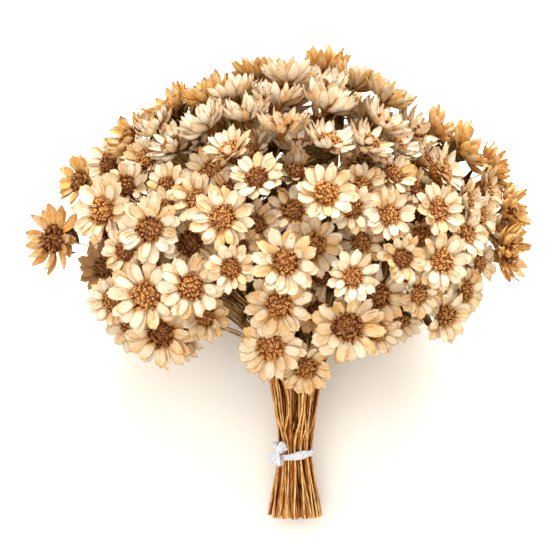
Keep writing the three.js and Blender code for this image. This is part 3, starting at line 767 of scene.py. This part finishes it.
def floretShape(name, sides, flare, mouth, bend):
    rings = [(z, r, c, s) for z, r in ((0, 0.6), (0.55, 0.8), (1.0, flare)) for c, s in circle(sides)]
    verts = [(z, r * c + bend * z * z, r * s) for z, r, c, s in rings] + [(mouth, bend, 0)]
    height = [float(z) for z, r, c, s in rings] + [0.3 if mouth < 1 else 1.0]
    faces = ringFaces(sides, 3) + fan(2 * sides, sides, 3 * sides) + [tuple(range(sides))]
    return closedMesh(name, verts, faces, {"height": height}, smooth=False)


floretShapes = shapeCollection("floret", [floretShape(*row) for row in (
    ("floretOpen", 5, 1.1, 0.55, 0.5), ("floretCurled", 5, 0.85, 0.75, 1.1), ("floretBud", 4, 0.6, 1.35, 0.3))])


def domeShape(name, steps, sides):
    rims = [1 - i / steps for i in range(steps)]
    verts = [(r * c, r * s, heartRise(r) - 0.05) for r in rims for c, s in circle(sides)]
    top = len(verts)
    verts += [(0, 0, heartRise(0) - 0.05), (0, 0, -heartStyle["depth"])]
    faces = ringFaces(sides, steps) + fan(top - sides, sides, top) + fan(0, sides, top + 1)
    return closedMesh(name, verts, faces, {"height": [0.0] * len(verts)})


def heartShape(name, count, seed):
    points = Scatter()
    for i in range(count):
        r = sqrt((i + 0.5) / count) * 0.97
        turn = i * pi * (3 - sqrt(5)) + seed
        slope = heartStyle["rise"] * heartStyle["fall"] * r ** (heartStyle["fall"] - 1)
        normal = Vector((slope * cos(turn), slope * sin(turn), 1)).normalized()
        own = (normal + Vector((around(0.4), around(0.4), 0))).normalized()
        size = 0.92 / sqrt(count) * (1 + around(0.24))
        tall = size * random.uniform(1.4, 3.1) * (0.8 + 0.4 * r)
        place = Vector((r * cos(turn), r * sin(turn), heartRise(r) - 0.1))
        points.add(place, own, Vector((cos(i), sin(i), 0.3)), (tall, size, size),
                   random.choice([0, 0, 1, 1, 2]), r)
    florets = points.grow(name, floretShapes, heartFinish, seed, "floretTone")
    florets.attributes["gold"].name = "rimward"
    for spent in ("ripe", "turn", "stretch", "shape"):
        florets.attributes.remove(florets.attributes[spent])
    dome = domeShape(name + "Dome", 4, 12)
    dome.materials.append(heartFinish)
    return joinMeshes(name, [florets, dome])


def makeHeartFinish():
    finish = Finish("driedFlorets", 0.5, 0.35)
    height, own, ripe, rimward, aged = [
        finish.value(name) for name in ("height", "floretTone", "ripe", "rimward", "gold")]
    mottled, speck = finish.mottled(900.0, 0.62)
    ripeness = (ripe + own.ramp(0.0, 1.0, -0.32, 0.32) + rimward.ramp(0.55, 1.0, -0.08, 0.4)).clamped()
    # The florets darken low down, deep between one another, as painted shade, and grow pale at their tips as a
    # painted highlight.
    top = finish.colour(heartStyle["golden"]).painted((ripeness, heartStyle["ripe"]))
    lit = height.ramp(0.8, 1.0) * own.ramp(0.3, 0.9, 0.0, 0.8) * ripe.ramp(0.35, 1.0, 1.0, 0.25)
    colour = finish.colour(heartStyle["ripe"]).painted(
        (ripeness, heartStyle["dark"]),
        (height.ramp(0.3, 1.0), top),
        (lit, heartStyle["pale"]),
        (speck * 0.5, heartStyle["dark"]),
        # painted shade on heads that others stand over, and their age
        (aged * 0.6, heartStyle["dark"]))
    return finish.made(colour, mottled.ramp(0.0, 1.0, 0.38, 0.62), mottled)


heartFinish = makeHeartFinish()
heartShapes = shapeCollection("heart", [
    heartShape(f"heart{i}", heartStyle["florets" if i < 3 else "hiddenFlorets"], 11 + i) for i in range(4)])


def addHeart(points, head):
    disc = head["radius"] * headSolid["discShare"] * (1.02 - 0.18 * head["closed"])
    shape = 3 if head["hidden"] or head["closed"] > 0.6 else random.randrange(3)
    stretch = (disc, disc, disc * random.uniform(0.85, 1.25))
    points.add(head["at"] + head["face"] * 0.1 * mm, pointing(head, head["turn"]), head["face"], stretch, shape,
               head["aged"], head["ripe"])


# Calyxes: a small cup of dry scales under each head
calyxStyle = {
    "outline": [(1.0, 0.08), (0.96, -0.18), (0.74, -0.5), (0.42, -0.8), (0.16, -1.0), (0.1, -1.25)],
    "scales": 11,
    "scaleOutline": [(-0.72, 0.55, 0.5), (-0.4, 0.86, 0.95), (-0.12, 1.03, 0.8)],  # height, reach, width
    "straw": "B87C3A",
    "brown": "60340F",
    "dark": "3B2412",
}


def calyxShape(name, sides, rows):
    rings = [(r, z, c, s) for r, z in calyxStyle["outline"] for c, s in circle(sides)]
    verts = [(r * c, r * s, z) for r, z, c, s in rings]
    level = [float(-z) for r, z, c, s in rings]
    faces = ringFaces(sides, len(calyxStyle["outline"])) + [
        tuple(range(sides)), tuple(range(len(verts) - sides, len(verts)))]
    for row in range(rows):
        for k in range(calyxStyle["scales"]):
            turn = (k + 0.5 * row) / calyxStyle["scales"] * tau + around(0.12)
            addScale(verts, faces, level, turn, 0.1 - 0.36 * row, 1.06 - 0.16 * row, around(0.06))
    return closedMesh(name, verts, faces, {"level": level})


def addScale(verts, faces, level, turn, top, reach, flare):  # a pointed scale that lies on the cup
    start = len(verts)
    spread = pi / calyxStyle["scales"]
    out = Vector((cos(turn), sin(turn), 0))
    side = Vector((-sin(turn), cos(turn), 0))
    for i, (z, r, wide) in enumerate(calyxStyle["scaleOutline"]):
        middle = out * (r - (0.1 if top < 0 else 0)) + Vector((0, 0, z + top))
        for across, lift in ((-1, -0.03), (0, 0.07), (1, -0.03), (0, -0.05)):
            verts.append(tuple(middle + side * across * wide * spread + out * lift))
            level.append(0.55 if i else 0.9)
    verts.append(tuple(out * (reach + 0.07 + flare) + Vector((0, 0, 0.12 + top))))
    level.append(0.1)
    faces += ringFaces(4, 3, start) + fan(start + 8, 4, start + 12) + [tuple(range(start, start + 4))]


calyxShapes = shapeCollection("calyx", [calyxShape(*row) for row in (
    ("calyx0", 10, 2), ("calyx1", 10, 2), ("calyxBare", 10, 0))])


def makeCalyxFinish():
    finish = Finish("dryScales", 0.66, 0.25)
    level, tone, aged = [finish.value(name) for name in ("level", "tone", "gold")]
    mottled, speck = finish.mottled(620.0, 0.6)
    brown = (level.ramp(0.1, 0.9, 0.15, 0.6) + tone.ramp(0.0, 1.0, -0.15, 0.25)
             + mottled.ramp(0.0, 1.0, -0.2, 0.2)).clamped()
    colour = finish.colour(calyxStyle["straw"]).painted(
        # the last layer is painted shade on heads that others stand over, and their age
        (brown, calyxStyle["brown"]), (speck * 0.4, calyxStyle["dark"]), (aged * 0.6, calyxStyle["dark"]))
    return finish.made(colour, mottled.ramp(0.0, 1.0, 0.55, 0.8), mottled, 0.5, 0.12)


def addCalyx(points, head):
    cup = head["radius"] * headSolid["discShare"] * (0.6 if head["cup"] else 0.84)
    stretch = (cup, cup, (headSolid["calyxDepth"] - 0.35) * mm)
    points.add(head["at"] - head["face"] * 0.3 * mm, pointing(head, head["turn"]), head["face"], stretch,
               2 if head["cup"] else random.randrange(2), head["aged"])


# Stems: one slender strand for each head, side by side where a spray's stems run together
stemStyle = {
    "thick": {1: 0.32, 2: 0.26, 3: 0.225, 4: 0.205},  # radius in mm, by how many run together
    "thickVary": 0.14,
    "taper": 0.3,
    "apart": {1: 0.0, 2: 0.3, 3: 0.34, 4: 0.4},  # mm from the middle of those that run together
    "opening": 0.7,  # how much further apart they are at their cut ends
    "winding": 55,  # radians in a metre that they wind round each other
    "step": 2.4,  # mm between their rings
    "wobble": 0.24,
    "sway": (0.2, 0.36),  # radians that they turn round the bunch above the tie: the mean, and how it varies
    "swayLimits": (-0.5, 0.8),
    "footSway": 0.2,
    "straw": "F4C684",
    "honey": "CE7F28",
    "brown": "3A1403",
    "russet": "8A420F",
    "green": "6C6334",
    # a painted highlight, in pale streaks on the paler strands
    "paintedHighlight": "F2D2A4",
    "speck": "3A200E",
}


def evenRoute(places, step):
    lengths = [0.0]
    for one, other in zip(places, places[1:]):
        lengths.append(lengths[-1] + (other - one).length)
    count = max(3, round(lengths[-1] / step))
    made, k = [], 0
    for i in range(count + 1):
        want = lengths[-1] * i / count
        while k < len(lengths) - 2 and lengths[k + 1] < want:
            k += 1
        span = lengths[k + 1] - lengths[k] or 1
        made.append(places[k].lerp(places[k + 1], (want - lengths[k]) / span))
    return made


def softened(places, passes):
    for _ in range(passes):
        places = [places[0]] + [
            here * 0.5 + (before + after) * 0.25
            for before, here, after in zip(places, places[1:], places[2:])] + [places[-1]]
    return places


def swayed(place, sway, footSway):  # turned a little round the bunch, where the stems cross each other
    here = inBunch(place)
    turn = sway * blend(17, 27, here.y) * blend(46, 30, here.y) + footSway * blend(13, 0, here.y)
    proud = 1 + 0.1 * abs(turn)
    x, z = here.x * proud, here.z * proud
    return onFloor((x * cos(turn) + z * sin(turn), here.y, z * cos(turn) - x * sin(turn)))


def strandOf(head, index, together):
    route = list(head["route"])
    fork = sum((b - a).length for a, b in zip(route[:head["shared"]], route[1:head["shared"] + 1]))
    route[-1] = head["at"] - head["face"] * headSolid["calyxDepth"] * mm
    route.append(head["at"] - head["face"] * 2.2 * mm)
    even = softened(evenRoute(route, 1.2 * mm), 14)
    side = upFromFloor @ Vector((1, 0, 0))
    least, most = stemStyle["swayLimits"]
    sway = min(max(random.gauss(*stemStyle["sway"]), least), most)
    footSway = around(stemStyle["footSway"])
    made, run = [], 0
    for i, here in enumerate(even):
        way = (even[min(i + 1, len(even) - 1)] - even[max(i - 1, 0)]).normalized()
        side = (side - way * side.dot(way)).normalized()
        other = way.cross(side)
        if i:
            run += (here - even[i - 1]).length
        up = inBunch(here).y
        apart = stemStyle["apart"][together] * (1 - blend(fork - 2 * mm, fork + 9 * mm, run)) if together > 1 else 0
        apart *= 1 + stemStyle["opening"] * blend(14, 0, up) + 0.3 * blend(22, bunch["throatAt"], up)
        turn = index / together * tau + run * stemStyle["winding"]
        drift = noise.noise_vector(Vector((run * 60, index * 7.3, head["turn"] * 11))) * stemStyle["wobble"]
        ease = blend(0, 6 * mm, (even[-1] - here).length) * (0.6 + 0.8 * (head["turn"] % 1))
        shift = side * (cos(turn) * apart + drift.x * ease) + other * (sin(turn) * apart + drift.y * ease)
        made.append(swayed(here + shift * mm, sway, footSway))
    return evenRoute(made, stemStyle["step"] * mm)


def stemsOf(spray):
    places, edges, rows = [], [], []
    together = len(spray["heads"])
    strands = []
    for index, head in enumerate(spray["heads"]):
        strand = strandOf(head, index, together)
        strands.append(strand)
        tone, own, run = random.random(), 1 + around(stemStyle["thickVary"]), random.uniform(0, 1)
        start = len(places)
        for i, place in enumerate(strand):
            share = i / (len(strand) - 1)
            thick = stemStyle["thick"][together] * own * (1 - stemStyle["taper"] * share) * mm
            deep = blend(34, 52, inBunch(place).y) * (1 - 0.6 * blend(0.8, 1, share))
            places.append(place)
            rows.append((thick, tone, run + i * stemStyle["step"], deep))
        edges += [(k, k + 1) for k in range(start, len(places) - 1)]
    values = dict(zip(("thick", "tone", "run", "deep"), zip(*rows)))
    return meshWith(spray["name"] + "Lines", places, edges, values), strands


def makeStemFinish():
    finish = Finish("dryStem", 0.6, 0.12)
    tone, run, deep, turn = [finish.value(name) for name in ("tone", "run", "deep", "round")]
    streak, vein = finish.fibred(run, (turn * tau).maths("SINE"), tone, 2.2, 0.16)
    mottled, speck = finish.mottled(260.0, 0.64)
    share = (tone.ramp(0.0, 0.8, -0.35, 0.9) + streak.ramp(0.0, 1.0, -0.15, 0.4)
             + mottled.ramp(0.0, 1.0, -0.15, 0.2)).clamped()
    colour = finish.colour(stemStyle["straw"]).painted(
        (share, stemStyle["honey"]),
        (tone.ramp(0.5, 0.78) * streak.ramp(0.0, 0.8, 0.3, 1.0), stemStyle["russet"]),
        (tone.ramp(0.76, 0.94) * streak.ramp(0.0, 0.8, 0.4, 1.0), stemStyle["brown"]),
        (deep * 0.55, stemStyle["green"]),
        (vein.ramp(0.55, 0.95) * 0.5, stemStyle["brown"]),
        # painted highlight
        (vein.ramp(0.35, 0.1) * tone.ramp(0.85, 0.5, 0.0, 0.5), stemStyle["paintedHighlight"]),
        (speck * 0.5, stemStyle["speck"]))
    return finish.made(colour, vein.ramp(0.0, 1.0, 0.5, 0.75), streak + vein, 0.6)


# Leaves: narrow, curled and greenish brown, on the stems inside the bunch
leafStyle = {
    "each": 6,  # on a spray's strands
    "inTop": 3,  # and more on the ones that stand in the upper half
    "underHead": 2,
    "shadeFill": [(8.5, 90.25), (12.5, 96.5), (37, 91.75), (-53.5, 68.5), (-28, 102.25), (-5.25, 91.75), (32, 98.5),
               (-34.75, 93)],  # where dark leaves close the view through the bunch as painted shade, four in each
    "length": (7, 13),  # mm, along a stem
    "shortLength": (5, 8.5),  # under a head
    "shadeLength": (6, 8.5),
    "outline": [(0, 0.25), (0.12, 0.6), (0.3, 0.95), (0.5, 1.0), (0.7, 0.75), (0.87, 0.4)],
    "width": 0.15,
    "olive": "665C30",
    "brown": "45250A",
    "dry": "B08850",  # the ones in the top
    "rib": "A8925C",
    "vein": "3E3018",
}
leafCorners = [(-1, 1), (-0.5, 1), (0, 1), (0.5, 1), (1, 1), (0.5, -1), (0, -1), (-0.5, -1)]  # across, and the side


def leafShape(name, curl, twist, fold):
    verts, blade, ring = [], [], len(leafCorners)
    for t, share in leafStyle["outline"]:
        for across, side in leafCorners:
            z = curl * t ** 2 + fold * abs(across) * share * 0.1 + (0.004 if side > 0 else -0.012)
            verts.append(leaned(t, leafStyle["width"] * share * across, z, twist * t))
            blade.append((t, across * share, float(side)))
    tip = len(verts)
    verts.append((1, 0, curl))
    blade.append((1.0, 0.0, 0.0))
    faces = ringFaces(ring, len(leafStyle["outline"])) + fan(tip - ring, ring, tip) + [tuple(range(ring))]
    return closedMesh(name, verts, faces, {"blade": blade})


leafShapes = shapeCollection("leaf", [leafShape(*row) for row in (
    ("leafStraight", 0.05, 0.2, 0.6), ("leafCurled", 0.22, 0.7, 1.0), ("leafBent", -0.16, -0.5, 0.8))])


def makeLeafFinish():
    finish = Finish("dryLeaf", 0.72, 0.2)
    along, across, side = finish.parts("blade")
    tone, dry = finish.value("tone"), finish.value("gold")
    streak, vein = finish.fibred(along, across, tone, 4.0, 2.0)
    mottled, speck = finish.mottled(420.0, 0.6)
    colour = finish.colour(leafStyle["olive"]).painted(
        ((tone * 0.5 + dry + mottled.ramp(0.0, 1.0, -0.45, 0.15)).clamped(), leafStyle["brown"]),
        (dry.ramp(1.0, 1.7, 0.0, 0.85), leafStyle["dry"]),
        (across.maths("ABSOLUTE").ramp(0.14, 0.02) * 0.5, leafStyle["rib"]),
        (vein * 0.3, leafStyle["vein"]))
    return finish.made(colour, streak.ramp(0.0, 1.0, 0.6, 0.85), streak, 0.6, 0.15)


def leafWays(strand, i, least, most):  # up the stem, aside from it, and the leaf's own way between them
    way = (strand[i + 1] - strand[i - 1]).normalized()
    aside = Vector((around(1), around(1), around(1))).cross(way).normalized()
    lean = radians(random.uniform(least, most))
    return way, aside, way * cos(lean) + aside * sin(lean)


def addStalkLeaves(points, head, strand):  # brown ones close under a head
    for _ in range(leafStyle["underHead"] - head["cup"]):
        i = len(strand) - 2 - random.randrange(1, 5)
        if i < 2 or inBunch(strand[i]).y < 50:
            continue
        way, aside, along = leafWays(strand, i, 22, 55)
        long = random.uniform(*leafStyle["shortLength"]) * mm
        points.add(strand[i], along, aside - way * 0.4, (long, long * 1.3, long), random.randrange(3),
                   0.85 + head["closed"])


def addLeaves(points, strands):
    inTop = inBunch(strands[0][-1]).y > 70
    for _ in range(leafStyle["each"] + (leafStyle["inTop"] if inTop else 0)):
        strand = random.choice(strands)
        spots = [i for i in range(2, len(strand) - 4) if inBunch(strand[i]).y > bunch["throatAt"] + 5]
        if not spots:
            continue
        i = random.choice(spots)
        way, aside, along = leafWays(strand, i, 18, 48)
        long = random.uniform(*leafStyle["length"]) * mm
        end = inBunch(strand[i] + along * long)
        if end.y > 62 or abs(end.x) < 14:
            points.add(strand[i], along, aside.cross(way) * 0.3 + aside, (long, long, long), random.randrange(3),
                       blend(76, 88, end.y) * 1.4 + 0.35)


# painted shade: dark leaves on the stem nearest each of these places
for place in leafStyle["shadeFill"]:
    nearest = min(((seenFrom(inBunch(spot)) - Vector(place)).length, i, k) for i, head in enumerate(heads)
                  for k, spot in enumerate(head["route"]))
    heads[nearest[1]].setdefault("gapLeaves", []).append(nearest[2])


# dark leaves as painted shade, where the floor would show through the bunch
def addShadeLeaves(points, head):
    for k in head.get("gapLeaves", []):
        for _ in range(4):
            turn = random.uniform(0, tau)
            along = upFromFloor @ Vector((cos(turn), sin(turn), around(0.3)))
            facing = upFromFloor @ Vector((around(0.5), around(0.5), 1))
            long = random.uniform(*leafStyle["shadeLength"]) * mm
            points.add(head["route"][k] - along * 0.35 * long, along, facing, (long, 1.7 * long, long),
                       random.randrange(3), 0.6)


# Every spray becomes one piece
petalFinish, calyxFinish = makePetalFinish(), makeCalyxFinish()
stemFinish, leafFinish = makeStemFinish(), makeLeafFinish()


def keepOnFloor(mesh):  # petals that reach the floor are pressed flat on it
    soft = 0.3 * mm
    places = np.empty(len(mesh.vertices) * 3, np.float32)
    mesh.vertices.foreach_get("co", places)
    places = places.reshape(-1, 3)
    low = places[:, 2] < soft
    places[low, 2] = soft * np.exp((places[low, 2] - soft) / soft)
    mesh.vertices.foreach_set("co", places.ravel())
    mesh.update()


def dressSpray(number, spray):
    petals, hearts, calyxes, leaves = Scatter(), Scatter(), Scatter(), Scatter()
    for head in spray["heads"]:
        addPetals(petals, head)
        addHeart(hearts, head)
        addCalyx(calyxes, head)
    lines, strands = stemsOf(spray)
    addLeaves(leaves, strands)
    for head, strand in zip(spray["heads"], strands):
        addStalkLeaves(leaves, head, strand)
        addShadeLeaves(leaves, head)
    name = f"flowers{number:02d}"
    parts = [
        petals.grow(name + "Petals", petalShapes, petalFinish, number),
        hearts.grow(name + "Hearts", heartShapes, heartFinish, number + 100),
        calyxes.grow(name + "Calyxes", calyxShapes, calyxFinish, number + 200),
        grown(name + "Stems", lines, stemTree, {"Finish": stemFinish}),
    ]
    if leaves.places:
        parts.append(leaves.grow(name + "Leaves", leafShapes, leafFinish, number + 300))
    whole = joinMeshes(name, parts)
    keepOnFloor(whole)
    piece = addObject(name, whole)
    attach(piece, "root")
    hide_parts(spray["name"])
    return piece


flowers = [dressSpray(i + 1, spray) for i, spray in enumerate(sprays)]
print(f"grew {len(flowers)} sprays, {sum(len(flower.data.polygons) for flower in flowers)} faces")


# The tie: a flat crumpled white strip, wound once round the stems and knotted at the front left
tieStyle = {
    "radius": 4.55,  # mm, to the middle of the strip
    "width": 2.1,
    "thick": 0.45,
    "lean": 9,  # degrees that the ring leans along the stems
    "slant": 6,  # and across them
    "knotTurn": 50,  # degrees round to the left
    "loopTurn": 30,  # and the way that its loops face
    "knotRise": 1.1,  # mm that it sits above the band's middle
    "crumple": 0.34,
    "white": "DADDE6",
    "shade": "9EA2B2",
    # a painted reflection, warm, on the strip's edges
    "edgeReflection": "D6A98C",
    # the knot's flat loops: the way each points (degrees right of the stems), length, width and lift
    "loops": [(36, 3.4, 1.9, 0.5), (-12, 3.1, 1.3, 0.3), (-126, 3.5, 2.1, 0.7), (-170, 3.5, 2.3, 0.5)],
    "loopLine": [(0, 0.35), (0.4, 0.1), (0.75, 0.05), (0.97, 0.25), (1.0, 0.6), (0.8, 0.95), (0.4, 1.05),
                 (0, 0.75)],  # out along the stems, over and back: along, and height
    "wrapLine": [(-1.2, -0.1), (-1.0, 0.7), (-0.4, 1.3), (0.4, 1.35), (1.0, 0.8), (1.2, -0.1)],
    "wrapWidth": 1.6,
    "end": (60, 3.2, 1.2),  # the short loose end: way, length, width
    "endLine": [(0, 0.7), (0.35, 0.75), (0.7, 0.5), (1, 0.55)],
}
tieLean = Matrix.Rotation(radians(tieStyle["slant"]), 3, "Z") @ Matrix.Rotation(
    radians(tieStyle["lean"]), 3, "X")
stripAcross = [-1, -0.8, -0.4, 0, 0.4, 0.8, 1, 0.6, 0, -0.6]  # the upper face's corners, then the lower one's
upperCorners = 7


def sweptStrip(shape, route, outs, widths, seed, thick, closed=False):
    verts, faces, strip = shape
    count, start, ring = len(route), len(verts), len(stripAcross)
    for i, here in enumerate(route):
        before, after = (i - 1) % count, (i + 1) % count
        if not closed:
            before, after = max(i - 1, 0), min(i + 1, count - 1)
        way = (route[after] - route[before]).normalized()
        out = (outs[i] - way * outs[i].dot(way)).normalized()
        across = way.cross(out)
        for k, share in enumerate(stripAcross):
            upper = k < upperCorners
            flat = 0 if abs(share) == 1 else thick / 2 if upper else -thick / 2
            spot = here * 0.95 + Vector((seed * 3.1, share * 0.9, 0))
            crease = noise.noise(spot) + 0.6 * noise.noise(spot * 2.3)
            fold = 0.35 * sin(share * 5 + i * 0.5 + seed)
            lift = tieStyle["crumple"] * (crease + fold) * (1 if upper else 0.7)
            wide = share * widths[i] / 2 * (1 + 0.16 * noise.noise(here * 0.8 + Vector((0, 0, seed))))
            verts.append(tuple(here + across * wide + out * (flat + lift)))
            strip.append((i * 0.25, float(share), float(seed)))
    faces += ringFaces(ring, count, start, closed)
    if not closed:
        faces += [tuple(range(start, start + ring)), tuple(range(len(verts) - ring, len(verts)))]


def ringPlace(turn, radius):
    return Vector((radius * sin(turn), 0, radius * cos(turn)))


def bandRoute(steps):
    route, outs, widths = [], [], []
    for i in range(steps):
        turn = i / steps * tau
        uneven = 0.1 * sin(3 * turn + 1) + 0.08 * sin(7 * turn) + 0.05 * sin(13 * turn + 2)
        near = blend(0.55, 0.1, abs((turn + radians(tieStyle["knotTurn"]) + pi) % tau - pi))
        route.append(ringPlace(turn, tieStyle["radius"] + uneven + 0.2 * near)
                     + Vector((0, 0.16 * sin(2 * turn + 0.7) + 0.1 * sin(5 * turn), 0)))
        outs.append(ringPlace(turn, 1))
        widths.append(tieStyle["width"] * (1 + 0.1 * sin(5 * turn) - 0.3 * near))
    return route, outs, widths


def makeTie():
    shape = ([], [], [])
    thick, thin = tieStyle["thick"], tieStyle["thick"] * 0.6
    sweptStrip(shape, *bandRoute(80), 1, thick, True)
    knotWay = ringPlace(-radians(tieStyle["knotTurn"]), 1)
    knot = knotWay * (tieStyle["radius"] + 0.2) + Vector((-0.3, tieStyle["knotRise"], 0))
    outward = ringPlace(-radians(tieStyle["loopTurn"]), 1)
    tangent = Vector((outward.z, 0, -outward.x))

    def flatWay(degrees):
        return tangent * sin(radians(degrees)) + Vector((0, 1, 0)) * cos(radians(degrees))

    for i, (way, long, width, lift) in enumerate(tieStyle["loops"]):
        along = flatWay(way)
        line = [knot + along * long * a + outward * (h * (0.7 + lift) - 0.2 * a * long * 0.35)
                for a, h in tieStyle["loopLine"]]
        length = sum((q - p).length for p, q in zip(line, line[1:]))
        line = softened(evenRoute(line, length / 18), 2)
        middle = knot + outward * 0.45 * (0.7 + lift) + along * long * 0.5
        outs = [(p - middle) - along * (p - middle).dot(along) * 0.4 for p in line]
        reach = [min(1, (p - knot).length / (0.5 * long)) for p in line]
        sweptStrip(shape, line, outs, [width * (0.5 + 0.5 * r) for r in reach], i + 3, thin)
    wrap = [knot + Vector((0, a, 0)) + outward * b for a, b in tieStyle["wrapLine"]]
    wrap = softened(evenRoute(wrap, 0.3), 2)
    sweptStrip(shape, wrap, [p - knot for p in wrap], [tieStyle["wrapWidth"]] * len(wrap), 12, thick)
    way, long, width = tieStyle["end"]
    along = flatWay(way)
    end = evenRoute([knot + along * long * a + outward * h for a, h in tieStyle["endLine"]], 0.3)
    sweptStrip(shape, end, [outward] * len(end), [width] * len(end), 15, thin)
    verts, faces, strip = shape
    placed = [tuple(onFloor(tieLean @ Vector(v) + Vector((0, bunch["tieAt"], 0)))) for v in verts]
    mesh = closedMesh("tieStrip", placed, faces, {"strip": strip})
    mesh.materials.append(makeTieFinish())
    return mesh


def makeTieFinish():
    finish = Finish("whiteStrip", 0.42, 0.45)
    along, across, own = finish.parts("strip")
    streak, vein = finish.fibred(along, across, own, 4.0, 0.9)
    mottled, speck = finish.mottled(700.0, 0.7)
    colour = finish.colour(tieStyle["white"]).painted(
        ((streak.ramp(0.2, 1.0, 0.0, 0.45) + mottled.ramp(0.3, 1.0, 0.0, 0.25)).clamped(), tieStyle["shade"]),
        # painted reflection on the edges
        (across.maths("ABSOLUTE").ramp(0.8, 1.0) * 0.7, tieStyle["edgeReflection"]))
    return finish.made(colour, vein.ramp(0.0, 1.0, 0.32, 0.55), streak + vein, 0.5, 0.12)


tie = addObject("whiteTie", makeTie())
smoother = tie.modifiers.new("smooth", "SUBSURF")
smoother.levels = smoother.render_levels = 1
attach(tie, "root")
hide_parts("tie")
print("tied the bunch")


# The studio: a pale floor, soft lights and the photograph's view
studio = {
    "floor": "F6F4F0",
    "floorCloud": "E8E4DC",
    "floorHalf": 2.0,  # metres
    "lens": 108,
    "lamps": {  # watts, size and place
        "key": (1.37, 0.5, (-0.1, -0.19, 0.48)),
        "fill": (6.0, 0.5, (0.08, 0.42, 0.4)),
        "low": (0.5, 0.5, (0.03, -0.46, 0.28)),
    },
    "aim": (0, 0.01, 0.03),
    "sky": 0.75,
    "skyTint": (1, 0.92, 0.8, 1),
}


def makeFloor():
    mesh = bpy.data.meshes.new("floor")
    half = studio["floorHalf"]
    mesh.from_pydata([(-half, -half, 0), (half, -half, 0), (half, half, 0), (-half, half, 0)], [], [(0, 1, 2, 3)])
    finish = Finish("paleFloor", 0.85, 0.15)
    cloudy = cloud(finish.tree, finish.place(), 3.0).ramp(0.3, 0.7, 0.0, 0.04)
    mesh.materials.append(finish.made(finish.colour(studio["floor"]).painted((cloudy, studio["floorCloud"]))))
    addObject("floor", mesh)


def addLamp(name, power, size, place):
    lamp = bpy.data.lights.new(name, "AREA")
    lamp.energy = power
    lamp.shape = "DISK"
    lamp.size = size
    holder = addObject(name, lamp)
    holder.location = place
    holder.rotation_euler = (Vector(studio["aim"]) - Vector(place)).to_track_quat("-Z", "Y").to_euler()


makeFloor()
for name, settings in studio["lamps"].items():
    addLamp(name, *settings)
world = bpy.data.worlds.new("paleRoom")
world.use_nodes = True
world.node_tree.nodes["Background"].inputs["Color"].default_value = studio["skyTint"]
world.node_tree.nodes["Background"].inputs["Strength"].default_value = studio["sky"]
bpy.context.scene.world = world
bpy.context.scene.view_settings.view_transform = "Standard"
bpy.context.scene.view_settings.look = "Medium High Contrast"

view = bpy.data.cameras.new("view")
view.lens = studio["lens"]
view.sensor_width = 36
view.clip_start = 0.01
camera = addObject("view", view)
camera.location = onFloor(bunch["eye"])
camera.rotation_euler = (radians(bunch["tilt"]), 0, 0)
bpy.context.scene.camera = camera
